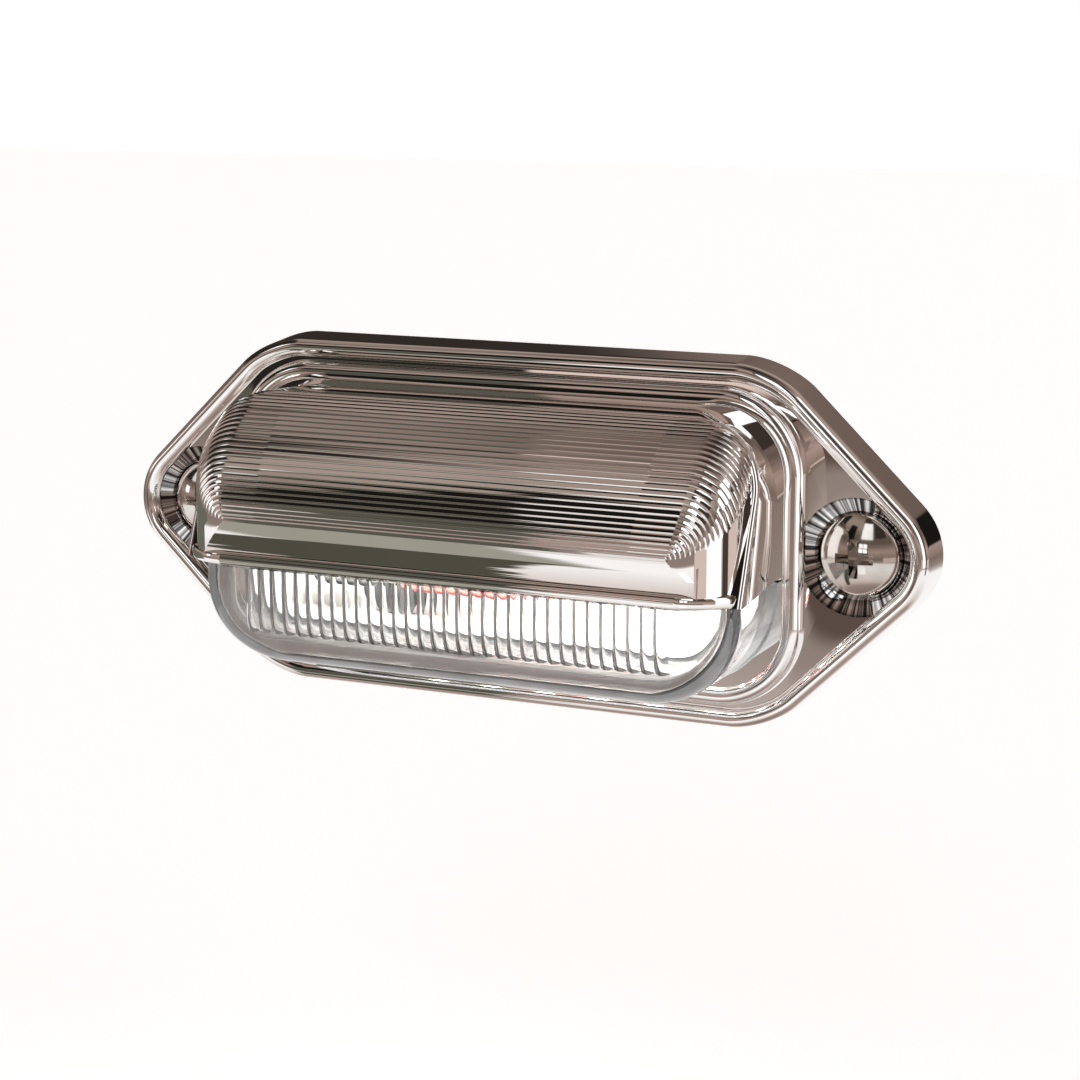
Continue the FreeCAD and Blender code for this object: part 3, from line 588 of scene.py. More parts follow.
@dataclass(frozen=True)
class HoodForm:
    """The curves and walls that the hood and the lens under it share."""

    edge_z: float = -2.4
    depth: float = 18.0
    half_w: float = 25.4
    plan_r: float = 5.0
    spring_depth: float = 8.0
    spring_z: float = 1.8
    rise: float = 10.3
    power: float = 1.6
    crease_rise: float = 0.77
    skirt_r: float = 8.0
    lens_half_w: float = 25.0
    lens_bottom: float = -11.9
    lens_depth: float = 16.9
    lens_plan_r: float = 4.9
    lens_r: float = 8.0
    lens_front_r: float = 3.4
    nose_r: float = 5.5
    hood_wall: float = 1.3
    hood_inner_depth: float = 16.2
    lens_gap: float = 0.15

    def dome_point(self, angle: float, front: float, rise: float) -> tuple[float, float]:
        """Depth and height of the dome's profile at an angle from its top."""
        power = 2 / self.power
        depth = self.spring_depth + (front - self.spring_depth) * sin(angle) ** power
        return depth, self.spring_z + rise * max(cos(angle), 0) ** power

    @staticmethod
    def plan_half_width(depth: float, half_w: float, front: float, radius: float) -> float:
        """Half the width at a depth of a plan outline with rounded front corners."""
        past = max(depth - (front - radius), 0)
        return half_w - radius + sqrt(max(radius * radius - past * past, 0))

    @staticmethod
    def arch(half_w: float, top: float, radius: float, bottom: float, depth_of: Callable[[float], float],
             swell: tuple[float, float] = (0.0, 0.0), run_steps: int = 0) -> list[Point]:
        """Points of an arch whose top and corners stand out by a swell that fades down the sides.

        Args:
            half_w: Half its width.
            top: Height of its flat top.
            radius: Radius of its corners.
            bottom: Height of its feet.
            depth_of: Gives a point's depth from its height.
            swell: How far its top stands out within its plane, and forwards.
            run_steps: Further points on the straight runs beside each corner.

        Returns:
            The points from the right foot over the top to the left one.
        """
        side, end = top - radius, half_w - radius
        out, forward = swell
        shares = [RUN_SHARE * k / run_steps for k in range(1, run_steps + 1)]
        right = [(half_w, bottom, 0.0)]
        right += [(half_w, side - (side - bottom) * share, 0.0) for share in reversed(shares)]
        for i in range(ARC_STEPS + 1):
            angle = pi / 2 * i / ARC_STEPS
            full = sin(min(2 * angle, pi / 2))
            reach = radius + out * full
            right.append((end + reach * cos(angle), side + reach * sin(angle), forward * full))
        right += [(end * (1 - share), top + out, forward) for share in shares]
        outline = right + [(-x, z, more) for x, z, more in reversed(right)]
        return [(x, z, depth_of(z) + more) for x, z, more in outline]

    def plain_dome(self, name: str, offset: float, front: float, bottom: float, back: float) -> Piece:
        """The dome without ribs, moved inwards."""
        loops = []
        for i in range(DOME_STEPS + 1):
            depth, top = self.dome_point(pi / 2 * i / DOME_STEPS, front, self.rise - offset)
            depth = depth if i > 0 else back
            half_w = self.plan_half_width(depth, self.half_w - offset, front, self.plan_r - offset)
            radius = min(self.skirt_r - offset, top - self.edge_z)
            loops.append(self.arch(half_w, top, radius, bottom, lambda z: depth))
        return skin(name, loops)

    def bowl(self, name: str, back: float, grow: float, top: float) -> Piece:
        """The lens's lower bowl as a closed shape, larger by grow."""
        loops = []
        for i in range(-1, DOME_STEPS + 1):
            angle = pi / 2 * max(i, 0) / DOME_STEPS
            nose = self.nose_r + grow
            depth = back if i < 0 else self.lens_depth - self.nose_r + nose * sin(angle)
            bottom = self.lens_bottom + self.nose_r - nose * cos(angle)
            half_w = self.plan_half_width(depth, self.lens_half_w + grow, self.lens_depth + grow,
                                          self.lens_plan_r + grow)
            radius = self.lens_r + grow + (self.lens_front_r - self.lens_r) * sin(angle) ** 2
            points = self.arch(half_w, -bottom, radius, -top, lambda z: depth)
            loops.append([(x, -z, d) for x, z, d in points])
        return skin(name, loops)


@dataclass
class CoverShell:
    """The chromed cover: flange, frame, ribbed hood and screw cups in one moulding."""

    form: HoodForm
    tip_x: float = 40.967
    corner_x: float = 24.44
    flange_half_h: float = 16.1
    tip_r: float = 6.0
    corner_r: float = 9.0
    foot_depth: float = 0.2
    floor_depth: float = 3.0
    floor_wall: float = 1.2
    rim_depth: float = 4.0
    rim_crest: float = 1.0
    rim_inset: float = 1.95
    rim_draft: float = 0.25
    shell_wall: float = 1.3
    frame_half_w: float = 27.3
    frame_half_h: float = 13.9
    frame_r: float = 7.6
    frame_depth: float = 4.4
    frame_width: float = 1.7
    channel_depth: float = 3.9
    skirt_half_w: float = 24.9
    skirt_top: float = 12.0
    border_half_w: float = 26.1
    border_top: float = 11.9
    border_r: float = 6.0
    border_depth: float = 14.0
    border_lean: float = 0.4
    border_round: float = 0.4
    dome_step: float = 0.1
    panel_r: float = 8.0
    lip_top: float = -1.35
    lip_depth: float = 17.75
    lip_round: float = 0.25
    lip_share: float = 0.3
    rib_count: int = 27
    rib_height: float = 0.085
    rib_share: float = 0.17
    rib_start: float = radians(13.5)
    rib_places: tuple[float, ...] = (-1.0, -0.7, -0.35, 0.0, 0.35, 0.7, 1.0)
    plain_steps: int = 8
    seat_depth: float = 3.1
    seat_half_w: float = 25.9
    seat_half_h: float = 12.7
    seat_r: float = 8.3
    cup_r: float = 5.1
    cup_bottom: float = 1.3
    cup_edge: float = 0.05
    hole_r: float = 2.3
    boss_r: float = 5.9
    boss_back: float = 1.0
    boss_drop: float = 0.005
    crisp_angle: float = 35.0

    def build(self) -> Piece:
        """Models the whole cover.

        Returns:
            The finished piece.
        """
        cover = self._flange()
        for part in (self._frame(), self._skirt(), self._ribbed_dome(), self._lip()):
            combine(cover, part, Join.UNION)
        for side in SIDES:
            boss = turned("boss", side * SCREW_X, [
                (self.boss_r, self.boss_back), (self.boss_r, self.floor_depth - self.boss_drop)])
            combine(cover, boss, Join.UNION)
        form = self.form
        seat = rounded_block("seat", self.seat_half_w, self.seat_half_h, self.seat_r, -CLEAR,
                             self.seat_depth)
        inner = form.plain_dome("inner", form.hood_wall, form.hood_inner_depth, form.edge_z - CLEAR,
                                self.seat_depth - CLEAR)
        mouth = form.bowl("mouth", self.seat_depth - CLEAR, form.lens_gap, form.edge_z - form.lens_gap)
        for tool in (seat, inner, mouth, *(self._cup(side) for side in SIDES)):
            combine(cover, tool, Join.DIFFERENCE)
        return settle(cover, self.crisp_angle)

    def _flange(self) -> Piece:
        """The long hexagon with its rounded rim, its flat valley and the hollow behind."""
        deselect_all()
        bpy.ops.mesh.primitive_cylinder_add(
            vertices=6, radius=1, depth=self.foot_depth, location=(0, 0, self.foot_depth / 2),
            rotation=(0, 0, pi / 2))
        piece = added("cover_shell")
        slope = atan2(self.flange_half_h, self.tip_x - self.corner_x)
        with editing(piece):
            bpy.ops.mesh.select_all(action="SELECT")
            bpy.ops.transform.resize(value=(2 * self.corner_x, self.flange_half_h / cos(pi / 6), 1),
                                     center_override=(0, 0, 0))
            pick(piece, Element.VERTEX, lambda place, way: abs(place.x) > 1.5 * self.corner_x)
            bpy.ops.transform.resize(value=(self.tip_x / (2 * self.corner_x), 1, 1),
                                     center_override=(0, 0, 0))
            pick(piece, Element.EDGE, lambda middle, way: abs(way.z) > FACING and abs(middle.y) < 1)
            bpy.ops.mesh.bevel(offset=self.tip_r / tan(slope), segments=ARC_STEPS, affect="EDGES")
            pick(piece, Element.EDGE, lambda middle, way: abs(way.z) > FACING
                 and abs(middle.y) > self.flange_half_h - NEAR)
            bpy.ops.mesh.bevel(offset=self.corner_r * tan(slope / 2), segments=ARC_STEPS, affect="EDGES")
            pick(piece, Element.FACE, lambda middle, way: way.z < -FACING)
            bpy.ops.mesh.inset(thickness=self.shell_wall, use_even_offset=True)
        crest = (self.rim_crest, self.rim_depth)
        outside = [(0, self.foot_depth)] + quarter_round((self.rim_draft, self.floor_depth), crest)
        inside = quarter_round((self.rim_inset, self.floor_depth), crest)
        step_front(piece, outside + inside[-2::-1])
        with editing(piece):
            pick(piece, Element.FACE, lambda middle, way: way.z < -FACING and middle.length < 1)
            bpy.ops.mesh.extrude_region_move(TRANSFORM_OT_translate={
                "value": (0, 0, self.floor_depth - self.floor_wall)})
        return piece

    def _frame(self) -> Piece:
        """The raised bead round the hood, with the groove inside it."""
        low = self.floor_depth - self.floor_wall / 2
        piece = rounded_block("frame", self.frame_half_w, self.frame_half_h, self.frame_r, low,
                              self.floor_depth)
        crest = (self.frame_width / 2, self.frame_depth)
        outside = quarter_round((0, self.floor_depth), crest)
        inside = quarter_round((self.frame_width, self.channel_depth), crest)
        step_front(piece, outside + inside[-2::-1])
        return piece

    def _skirt(self) -> Piece:
        """The hood's flared outer wall with its slanted, rounded border."""
        bottom = self.form.edge_z
        loops = [self.form.arch(self.skirt_half_w, self.skirt_top, self.form.skirt_r, bottom,
                                lambda z: self.floor_depth)]
        for inset, rise in quarter_round((0, 0), (self.border_round, self.border_round)):
            loops.append(self.form.arch(
                self.border_half_w - inset, self.border_top - inset, self.border_r - inset, bottom,
                lambda z: self.border_depth - self.border_lean * z + rise))
        return skin("skirt", loops)

    def _dome_loop(self, angle: float, swell: float) -> list[Point]:
        """One contour of the dome, kept within the border's outline."""
        form = self.form
        depth, top = form.dome_point(angle, form.depth, form.rise)
        half_w = form.plan_half_width(depth, form.half_w, form.depth, form.plan_r)
        radius = max(top - form.spring_z - form.crease_rise * (form.depth - depth), self.dome_step)
        foot = (form.edge_z + self.lip_top) / 2
        points = form.arch(half_w, top, radius, foot, lambda z: depth, (swell, swell * sin(angle)),
                           ROUND_STEPS)
        return [self._within_border(*point) for point in points]

    def _within_border(self, x: float, z: float, depth: float) -> Point:
        """A point moved in to the border's outline if it lies outside."""
        half_w, top = self.border_half_w - self.dome_step, self.border_top - self.dome_step
        radius = self.border_r - self.dome_step
        side = 1 if x > 0 else -1
        x, z = min(abs(x), half_w), min(z, top)
        over_x, over_z = x - (half_w - radius), z - (top - radius)
        if over_x > 0 and over_z > 0:
            share = min(radius / sqrt(over_x ** 2 + over_z ** 2), 1)
            x, z = half_w - radius + over_x * share, top - radius + over_z * share
        return side * x, z, depth

    def _ribbed_dome(self) -> Piece:
        """The dome: flat bands between fine raised ribs, with the smooth panel rolled back below."""
        form = self.form
        pitch = (pi / 2 - self.rib_start) / self.rib_count
        contours = [(self.rib_start * i / self.plain_steps, 0.0) for i in range(1, self.plain_steps)]
        for i in range(self.rib_count):
            middle = self.rib_start + pitch * (i + 0.5)
            for place in self.rib_places:
                swell = self.rib_height * cos(pi / 2 * place) ** 2
                contours.append((middle + place * pitch * self.rib_share, swell))
            if i < self.rib_count - 1:
                contours.append((middle + pitch / 2, 0.0))
        piece = skin("dome", [self._dome_loop(angle, swell) for angle, swell in contours])
        reach = self.border_half_w + CLEAR
        centre = form.depth - self.panel_r
        arc = []
        for i in range(-2, ARC_STEPS + 1):
            angle = pi / 4 * i / ARC_STEPS
            arc.append((form.spring_z - self.panel_r * sin(angle), centre + self.panel_r * cos(angle)))
        arc[0] = (form.spring_z, form.depth + CLEAR)
        arc[1] = (form.spring_z, form.depth + CLEAR / 2)
        outline = arc + [(form.edge_z - 2 * CLEAR, form.depth + CLEAR)]
        roll = skin("roll", [[(x, z, depth) for z, depth in outline] for x in (-reach, reach)])
        combine(piece, roll, Join.DIFFERENCE)
        return piece

    def _lip(self) -> Piece:
        """The thick edge that runs along the foot of the dome."""
        low, top, bevel = self.form.edge_z, self.lip_top, self.lip_round
        back = self.border_depth - self.border_lean * low
        loops = []
        part = bevel * self.lip_share
        for z, inset in ((low, bevel), (low + part, part), (low + bevel, 0.0), (top - bevel, 0.0),
                         (top - part, part), (top, bevel)):
            radius = self.form.plan_r
            end, front = self.border_half_w - inset - radius, self.lip_depth - inset - radius
            start = asin((back - front) / radius)
            right = []
            for i in range(ARC_STEPS + 1):
                angle = start + (pi / 2 - start) * i / ARC_STEPS
                right.append((end + radius * cos(angle), front + radius * sin(angle)))
            outline = right + [(-x, depth) for x, depth in reversed(right)]
            loops.append([(x, z, depth) for x, depth in outline])
        return skin("lip", loops)

    def _cup(self, side: int) -> Piece:
        """The tool for a countersunk cup and the hole below it."""
        return turned("cup", side * SCREW_X, [
            (self.hole_r, -CLEAR), (self.hole_r, self.cup_bottom), (self.cup_r, self.floor_depth),
            (self.cup_r, self.floor_depth + self.cup_edge)])

    def dress(self, piece: Piece, effects: SharedEffects) -> None:
        """Plates the cover, with painted dark reflection streaks in its two cups."""
        dress(piece, CHROME.material(effects))
        floor, reach = (self.floor_depth - MERGE) * MM, (self.cup_r - MERGE) * MM
        axis = SCREW_X * MM

        def in_cup(place: Vector) -> bool:
            """A face of a cup's cone."""
            return -place.y < floor and Vector((abs(place.x) - axis, place.z)).length < reach

        dress_part(piece, CUP_PLATING.material(effects), in_cup)
        hand_over(piece, "chrome_shell", "cover")


@dataclass
class ClearLens:
    """The clear lens: its lower bowl shows, its upper part is inside the hood, with flutes in front."""

    form: HoodForm
    wall: float = 1.8
    hood_gap: float = 0.2
    back: float = 1.9
    rim_t: float = 0.8
    rim_half_w: float = 25.7
    rim_half_h: float = 12.5
    rim_r: float = 8.1
    flute_pitch: float = 1.2
    flute_high: float = 0.4
    flute_half_span: float = 19.8
    flute_wrap: float = radians(30.0)
    flute_band: float = 1.0
    flute_steps: int = 8
    frost_and_glow_depth: float = 2.75
    crisp_angle: float = 38.0

    def build(self) -> Piece:
        """Models the lens.

        Returns:
            The finished piece.
        """
        form = self.form
        shoulder = form.edge_z - 2 * form.lens_gap
        offset = form.hood_wall + self.hood_gap
        front = form.hood_inner_depth - self.hood_gap
        below = shoulder - self.wall
        lens = form.bowl("lens_moulding", self.back, 0.0, shoulder)
        combine(lens, form.plain_dome("hidden", offset, front, below, self.back), Join.UNION)
        rim = rounded_block("rim", self.rim_half_w, self.rim_half_h, self.rim_r, self.back,
                            self.back + self.rim_t)
        combine(lens, rim, Join.UNION)
        inside = form.plain_dome("inside", offset + form.hood_wall, front - form.hood_wall, below,
                                 self.back - CLEAR)
        lower = form.bowl("lower", self.back - CLEAR, -self.wall, shoulder - form.lens_gap)
        for tool in (inside, lower, self._flutes(shoulder - form.lens_gap)):
            combine(lens, tool, Join.DIFFERENCE)
        return settle(lens, self.crisp_angle)

    def _flutes(self, top: float) -> Piece:
        """The tool for the fluted band: rounded grooves side by side inside the front wall."""
        form = self.form
        middle_depth, middle_z = form.lens_depth - form.nose_r, form.lens_bottom + form.nose_r
        full = form.nose_r - self.wall + self.flute_high
        heel = form.nose_r - self.wall - self.flute_band
        count = int(round(2 * self.flute_half_span / self.flute_pitch)) * self.flute_steps
        turns = [self.flute_wrap * k / ROUND_STEPS for k in range(ROUND_STEPS + 1)]
        loops = []
        for i in range(count + 1):
            x = self.flute_half_span * (2 * i / count - 1)
            wave = sin(pi * i / self.flute_steps) ** 2
            outer = full - self.flute_high * (1 - sqrt(wave))
            points = [(middle_depth + outer, top)]
            for reach, angles in ((outer, turns), (heel, turns[::-1])):
                points += [(middle_depth + reach * cos(angle), middle_z - reach * sin(angle))
                           for angle in angles]
            points.append((middle_depth + heel, top))
            loops.append([(x, z, depth) for depth, z in points])
        return skin("flutes", loops)

    def dress(self, piece: Piece, effects: SharedEffects) -> None:
        """Makes the lens clear, with a frosted rim where it is clamped that also carries a painted glow.
        """
        dress(piece, CLEAR_MOULDING.material(effects))
        dress_part(piece, RIM_FROST_AND_GLOW.material(effects), lambda place: -place.y < self.frost_and_glow_depth * MM)
        hand_over(piece, "clear_lens", "lens")


@dataclass
class FixingScrews:
    """The two plated screws: domed oval heads with a cross recess, and threaded shanks."""

    head_r: float = 3.75
    seat: float = 2.18
    rim_t: float = 0.25
    dome: float = 1.5
    neck_r: float = 1.75
    neck_run: float = 0.3
    sink_rate: float = 0.607
    edge_soft: float = 0.03
    rim_drop: float = 0.05
    rim_soft: tuple[float, float] = (0.04, 0.02)
    end_r: float = 0.05
    sides: int = 64
    core_r: float = 1.5
    thread_r: float = 2.05
    thread_start: float = -0.4
    thread_pitch: float = 1.5
    thread_steps: int = 32
    thread_lead: float = 0.2
    thread_stop: float = 0.6
    thread_bite: float = 0.15
    thread_share: float = 0.3
    tip: float = -14.0
    point: float = 3.0
    recess_span: float = 3.7
    recess_slot: float = 0.85
    recess_deep: float = 1.5
    recess_flare: tuple[float, float] = (1.2, 0.1)
    recess_taper: tuple[float, float] = (0.36, 0.66)
    crisp_angle: float = 32.0

    def build(self) -> dict[str, Piece]:
        """Models one screw and copies it.

        Returns:
            Both screws by the node that each replaces.
        """
        first = self._screw()
        made = {}
        for name, side in zip(("left", "right"), SIDES):
            mesh = first.data.copy()
            mesh.transform(Matrix.Translation((side * SCREW_X, 0, 0)))
            piece = bpy.data.objects.new("fixing_screw_" + name, mesh)
            bpy.context.scene.collection.objects.link(piece)
            made["screw_" + name] = settle(piece, self.crisp_angle)
        bpy.data.objects.remove(first)
        return made

    def _screw(self) -> Piece:
        """One screw on the middle axis."""
        edge = self.seat + self.rim_t
        dome_r = (self.head_r ** 2 + self.dome ** 2) / (2 * self.dome)
        reach = asin(self.head_r / dome_r)
        soft = self.edge_soft
        profile = [
            (self.end_r, self.tip), (self.core_r, self.tip + self.point),
            (self.core_r, self.thread_start - self.neck_run), (self.neck_r, self.thread_start),
            (self.neck_r, self.seat - (self.head_r - self.neck_r) * self.sink_rate),
            (self.head_r - 2 * soft, self.seat - soft), (self.head_r, self.seat + soft),
            (self.head_r, edge - self.rim_drop),
            (self.head_r - self.rim_soft[0], edge + self.rim_soft[1])]
        for i in range(1, DOME_STEPS):
            angle = reach * (1 - i / DOME_STEPS)
            profile.append((dome_r * sin(angle), edge + self.dome - dome_r * (1 - cos(angle))))
        profile.append((self.end_r, edge + self.dome))
        screw = turned("screw", 0, profile, self.sides)
        combine(screw, self._thread(), Join.UNION)
        for turn in (0, 90):
            combine(screw, self._slot(edge + self.dome, turn), Join.DIFFERENCE)
        return screw

    def _thread(self) -> Piece:
        """The raised thread, running out towards the point."""
        start, stop = self.thread_start - self.thread_lead, self.tip + self.thread_stop
        turns = (start - stop) / self.thread_pitch
        count = int(turns * self.thread_steps)
        loops = []
        for i in range(count + 1):
            angle = 2 * pi * i / self.thread_steps
            depth = start - self.thread_pitch * i / self.thread_steps
            taper = min(max((depth - self.tip) / self.point, self.end_r), 1)
            fade = min(i / self.thread_steps * 2, 1)
            low = (self.core_r - self.thread_bite) * taper
            high = (self.core_r + (self.thread_r - self.core_r) * fade) * taper
            half = self.thread_pitch * self.thread_share * max(taper, self.thread_share)
            ring = [(low, depth + half), (high, depth), (low, depth - half)]
            loops.append([(r * cos(angle), r * sin(angle), d) for r, d in ring])
        return skin("thread", loops)

    def _slot(self, top: float, turn: float) -> Piece:
        """The tool for one tapered slot of the cross recess."""
        deselect_all()
        height = self.recess_deep + CLEAR
        bpy.ops.mesh.primitive_cube_add(size=1, location=(0, 0, top + CLEAR - height / 2),
                                        scale=(self.recess_span + self.recess_flare[0],
                                               self.recess_slot + self.recess_flare[1], height))
        piece = added("slot")
        with editing(piece):
            pick(piece, Element.FACE, lambda middle, way: way.z < -FACING)
            bpy.ops.transform.resize(value=(*self.recess_taper, 1),
                                     center_override=(0, 0, top - self.recess_deep))
        piece.data.transform(Matrix.Rotation(radians(turn), 4, "Z"))
        return piece

    def dress(self, made: dict[str, Piece], effects: SharedEffects) -> None:
        """Plates both screws."""
        plating = SCREW_PLATING.material(effects)
        for node, piece in made.items():
            dress(piece, plating)
            hand_over(piece, "chrome_screw", node)


@dataclass
class InnerParts:
    """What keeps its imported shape: seals, base, board and the parts on it."""

    finishes: tuple[tuple[Finish, tuple[str, ...]], ...] = (
        (SEAL_RUBBER, ("lens_seal",)),
        (WHITE_MOULDING, ("base",)),
        (GASKET_FOAM, ("mounting_gasket",)),
        (GROMMET_RUBBER, ("grommet",)),
        (BOARD_MASK, ("led_board",)),
        (LAMP_BODY, tuple("led_%d" % (i + 1) for i in range(LAMP_COUNT))),
        (RESISTOR_FILM, ("resistor_1", "resistor_2")),
        (DIODE_EPOXY, ("diode",)),
        (RED_SLEEVE, ("red_lead",)),
        (BLACK_SLEEVE, ("black_lead",)),
        (ZINC, ("board_screw_left", "board_screw_right")),
    )

    def dress(self, nodes: dict[str, Piece], effects: SharedEffects) -> None:
        """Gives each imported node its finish."""
        for finish, names in self.finishes:
            material = finish.material(effects)
            for name in names:
                dress(nodes[name], material)
                LOG.info("%s: %s", name, finish.name)


@dataclass
class LampGlow:
    """The phosphor face in the well of each lamp: a shallow dome that bulges downwards."""

    radius: float = 1.05
    bulge: float = 0.22
    above: float = 0.24
    rings: int = 4
    end_share: float = 0.05
    sides: int = 32
    crisp_angle: float = 60.0

    def build(self) -> list[Piece]:
        """One dome for each lamp.

        Returns:
            The domes, from left to right.
        """
        made = []
        for i in range(LAMP_COUNT):
            low, high = (Vector(corner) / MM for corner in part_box("led_%d" % (i + 1)))
            x, depth = (low.x + high.x) / 2, -(low.y + high.y) / 2
            profile = [(self.radius, -self.above)]
            for k in range(self.rings + 1):
                angle = pi / 2 * (k / self.rings)
                profile.append((self.radius * max(cos(angle), self.end_share), self.bulge * sin(angle)))
            piece = turned("lamp_face_%d" % (i + 1), 0, profile, self.sides)
            turn = Matrix.Rotation(pi / 2, 4, "X")
            piece.data.transform(Matrix.Translation((x, low.z + self.above, depth)) @ turn)
            made.append(settle(piece, self.crisp_angle))
        return made

    def dress(self, made: list[Piece], effects: SharedEffects) -> None:
        """Lights every face."""
        material = PHOSPHOR.material(effects)
        for piece in made:
            dress(piece, material)
            hand_over(piece, "led_body")


@dataclass(frozen=True)
class Card:
    """A card or window of the studio, by the direction in which it lies and its half sizes (degrees).

    Its sides lean by so many degrees to the left for each degree up.
    """

    azimuth: float
    elevation: float
    half_width: float
    half_height: float
    color: Color
    strength: float = 1.0
    soft: float = 1.0
    lean: float = 0.0


WHITE = (1.0, 1.0, 1.0, 1.0)
SKY = (
    (-90, shade(130, 116, 110)), (-60, shade(170, 152, 144)), (-50, shade(224, 213, 208)),
    (-40, shade(238, 232, 229)), (-28, shade(255, 254, 253)), (-17.5, shade(255, 254, 253)),
    (-15.5, shade(190, 178, 171)), (-13.5, shade(150, 137, 130)), (-9, shade(128, 111, 103)),
    (-5, shade(150, 131, 122)), (4, shade(178, 157, 147)), (11, shade(146, 127, 118)),
    (20, shade(106, 91, 84)), (32, shade(122, 106, 98)), (46, shade(170, 153, 144)),
    (57, shade(162, 145, 136)), (67, shade(112, 98, 91)), (79, shade(62, 54, 49)),
    (90, shade(34, 29, 27)),
)
CARDS = (
    Card(-138, 22, 17, 22, shade(50, 44, 40), soft=5),
    Card(-104, -10, 24, 12, shade(106, 106, 96), soft=4),
    Card(-85, 38, 30, 17, shade(42, 38, 35), soft=5),
    Card(156, 10, 14, 9, shade(26, 24, 22), soft=2),
    Card(85, -10.5, 48, 3.5, shade(215, 195, 186)),
    Card(18, 46, 25, 18, shade(60, 52, 48), soft=1.5),
    Card(6, 40, 11, 14, WHITE, 1.4, soft=1.5),
    Card(75, 20, 14, 34, WHITE, 1.4, soft=1.5),
    Card(100, 8, 6, 30, shade(70, 62, 56), soft=2),
    Card(-27.8, 3, 3.3, 17.6, shade(90, 88, 79), soft=0.6),
    Card(-27.8, 32, 7.5, 13.5, shade(24, 23, 20), soft=1.4),
    Card(-27.8, -6.9, 3.3, 1.2, shade(38, 35, 32), soft=0.5),
    Card(-30, -22, 3.6, 7.5, shade(160, 157, 146), soft=1.2),
    Card(-39.5, -42, 5.2, 13, shade(80, 78, 68), soft=0.8, lean=-0.55),
    Card(-17.5, -9.8, 3.5, 1.6, shade(92, 78, 71), soft=1.2),
    Card(-21.5, -7.4, 3.0, 0.7, shade(225, 203, 194), soft=0.3),
    Card(-21.8, -13.0, 1.5, 0.8, shade(236, 230, 227), soft=0.4),
    Card(-50, 28, 5, 7, WHITE, 1.2),
    Card(-60, 6, 4.5, 4.5, WHITE, 2.0, soft=0.3),
    Card(0, 9, 9, 10, shade(40, 37, 35), soft=0.5),
    *(Card(x, z, 3.2, 3.4, WHITE, 1.8, soft=0.3) for z in (13.5, 5) for x in (-4, 4)),
    Card(-3, -30, 7, 7, WHITE, 1.3, soft=0.5),
)


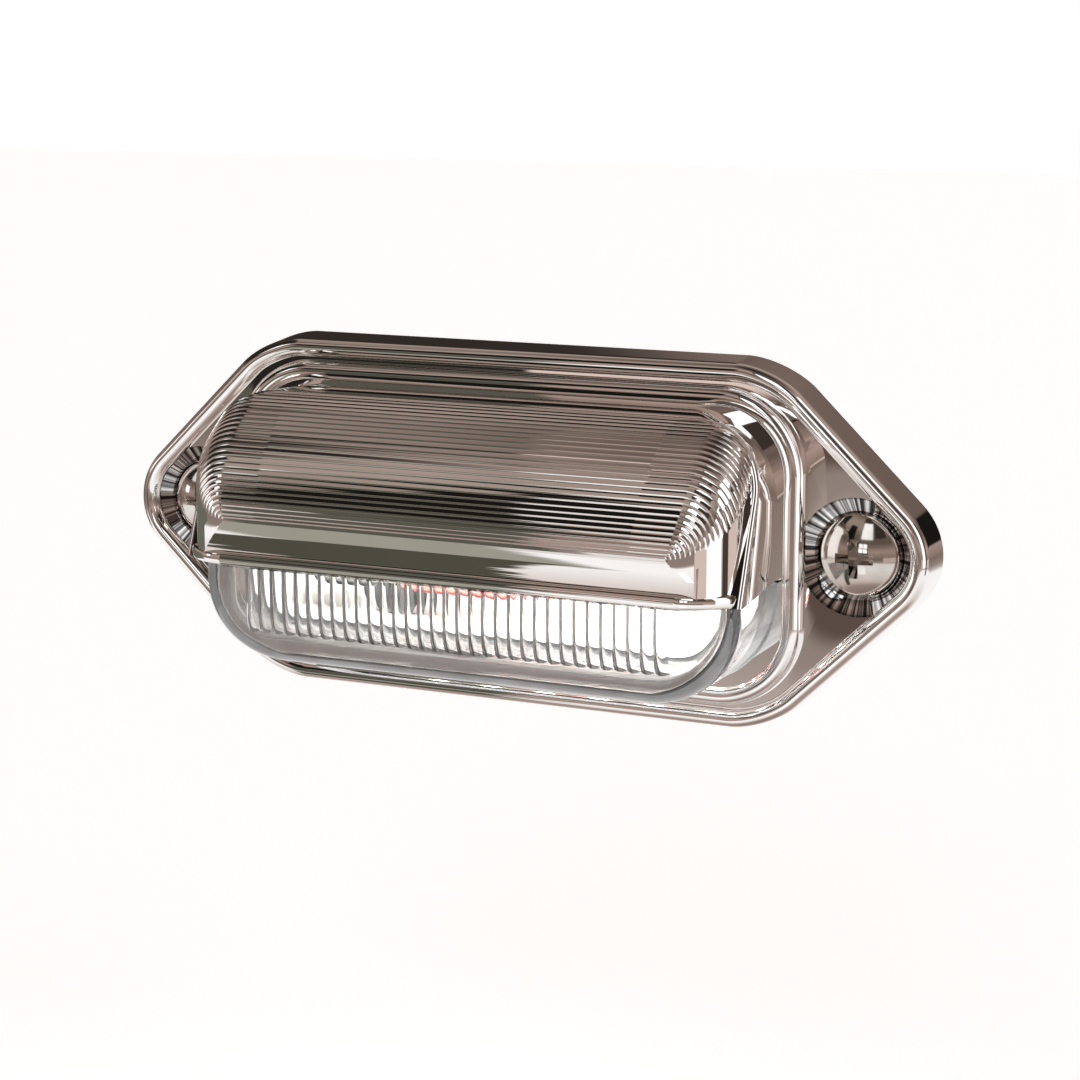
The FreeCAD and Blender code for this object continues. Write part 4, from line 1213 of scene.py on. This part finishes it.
@dataclass
class Studio:
    """Floor, soft light all round with its cards, and the camera."""

    floor_drop: float = 44.0
    floor_half: float = 1500.0
    floor_glow: float = 0.76
    floor_color: Color = tone(0.95, 0.95, 0.95)
    floor_rough: float = 0.8
    camera_place: tuple[float, float, float] = (95.576, -207.766, 44.667)
    camera_aim: tuple[float, float, float] = (1.382, 0.0, -1.576)
    camera_lens: float = 86.78
    camera_near: float = 1.0

    def build(self, effects: SharedEffects) -> None:
        """Sets up everything round the light."""
        self._world(effects)
        self._floor()
        self._camera()
        bpy.context.scene.view_settings.view_transform = "Standard"

    def _world(self, effects: SharedEffects) -> None:
        """A white surround for the eye, and bands and cards of light for what mirrors it."""
        world = bpy.data.worlds.new("studio")
        bpy.context.scene.world = world
        world.use_nodes = True
        world.cycles.sampling_method = "NONE"
        wiring = Wiring(world.node_tree)
        direction = wiring.add("SeparateXYZ", {0: wiring.add("TexCoord").outputs["Generated"]})
        ahead = wiring.math("MULTIPLY", direction.outputs["Y"], -1.0)
        azimuth = wiring.math("DEGREES", wiring.math("ARCTAN2", direction.outputs["X"], ahead))
        elevation = wiring.math("DEGREES", wiring.math("ARCSINE", direction.outputs["Z"]))
        bands = wiring.add("ValToRGB", {"Fac": wiring.remap(elevation, (-90.0, 90.0))})
        ramp = bands.color_ramp
        while len(ramp.elements) < len(SKY):
            ramp.elements.new(0.5)
        for element, (level, color) in zip(ramp.elements, SKY):
            element.position = level / 180 + 0.5
            element.color = color
        light = bands.outputs["Color"]
        for card in CARDS:
            mask = wiring.effect(effects.card, {
                "Azimuth": azimuth, "Elevation": elevation, "Centre Azimuth": card.azimuth,
                "Centre Elevation": card.elevation, "Half Width": card.half_width,
                "Half Height": card.half_height, "Soft": card.soft, "Lean": card.lean})
            color = tuple(channel * card.strength for channel in card.color[:3]) + (1.0,)
            light = wiring.add("MixRGB", {"Fac": mask.outputs["Mask"], "Color1": light,
                                          "Color2": color}).outputs["Color"]
        path = wiring.add("LightPath")
        camera_ray, through_ray = path.outputs["Is Camera Ray"], path.outputs["Is Transmission Ray"]
        plain = wiring.math("MAXIMUM", camera_ray, through_ray)
        lit = wiring.add("Background", {"Color": light, "Strength": 1.0})
        white = wiring.add("Background", {"Color": WHITE, "Strength": 1.0})
        both = wiring.add("MixShader", {
            0: plain, 1: lit.outputs["Background"], 2: white.outputs["Background"]})
        wiring.add("OutputWorld", {"Surface": both.outputs["Shader"]})

    def _floor(self) -> None:
        """A pale floor below the light that shows white, keeps its shadow and is open from below."""
        deselect_all()
        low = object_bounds()[0].z - self.floor_drop * MM
        bpy.ops.mesh.primitive_plane_add(size=2 * self.floor_half * MM, location=(0, 0, low))
        floor = bpy.context.object
        floor.name = "studio_floor"
        floor.visible_glossy = False
        material = bpy.data.materials.new("floor_card")
        material.use_nodes = True
        wiring = Wiring(material.node_tree)
        seen = wiring.add("LightPath").outputs["Is Camera Ray"]
        glow = wiring.math("MULTIPLY", seen, self.floor_glow)
        shader = wiring.add("BsdfPrincipled", {
            "Base Color": self.floor_color, "Roughness": self.floor_rough, "Emission Color": WHITE,
            "Emission Strength": glow})
        below = wiring.add("NewGeometry").outputs["Backfacing"]
        open_below = wiring.add("BsdfTransparent")
        both = wiring.add("MixShader", {
            0: below, 1: shader.outputs["BSDF"], 2: open_below.outputs["BSDF"]})
        wiring.add("OutputMaterial", {"Surface": both.outputs["Shader"]})
        floor.data.materials.append(material)
        floor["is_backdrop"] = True

    def _camera(self) -> None:
        """The camera where the photograph was taken from."""
        data = bpy.data.cameras.new("camera")
        data.lens = self.camera_lens
        data.clip_start = self.camera_near * MM
        camera = bpy.data.objects.new("camera", data)
        bpy.context.scene.collection.objects.link(camera)
        place, aim = Vector(self.camera_place) * MM, Vector(self.camera_aim) * MM
        camera.location = place
        camera.rotation_mode = "QUATERNION"
        camera.rotation_quaternion = (aim - place).to_track_quat("-Z", "Y")
        bpy.context.scene.camera = camera


def main() -> None:
    """Builds and dresses every sub-assembly, then the studio."""
    logging.basicConfig(level=logging.INFO, format="%(name)s: %(message)s")
    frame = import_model()
    effects = SharedEffects()
    form = HoodForm()
    for assembly in (CoverShell(form), ClearLens(form), FixingScrews(), LampGlow()):
        assembly.dress(assembly.build(), effects)
    InnerParts().dress(frame["nodes"], effects)
    Studio().build(effects)


if __name__ == "__main__":
    main()
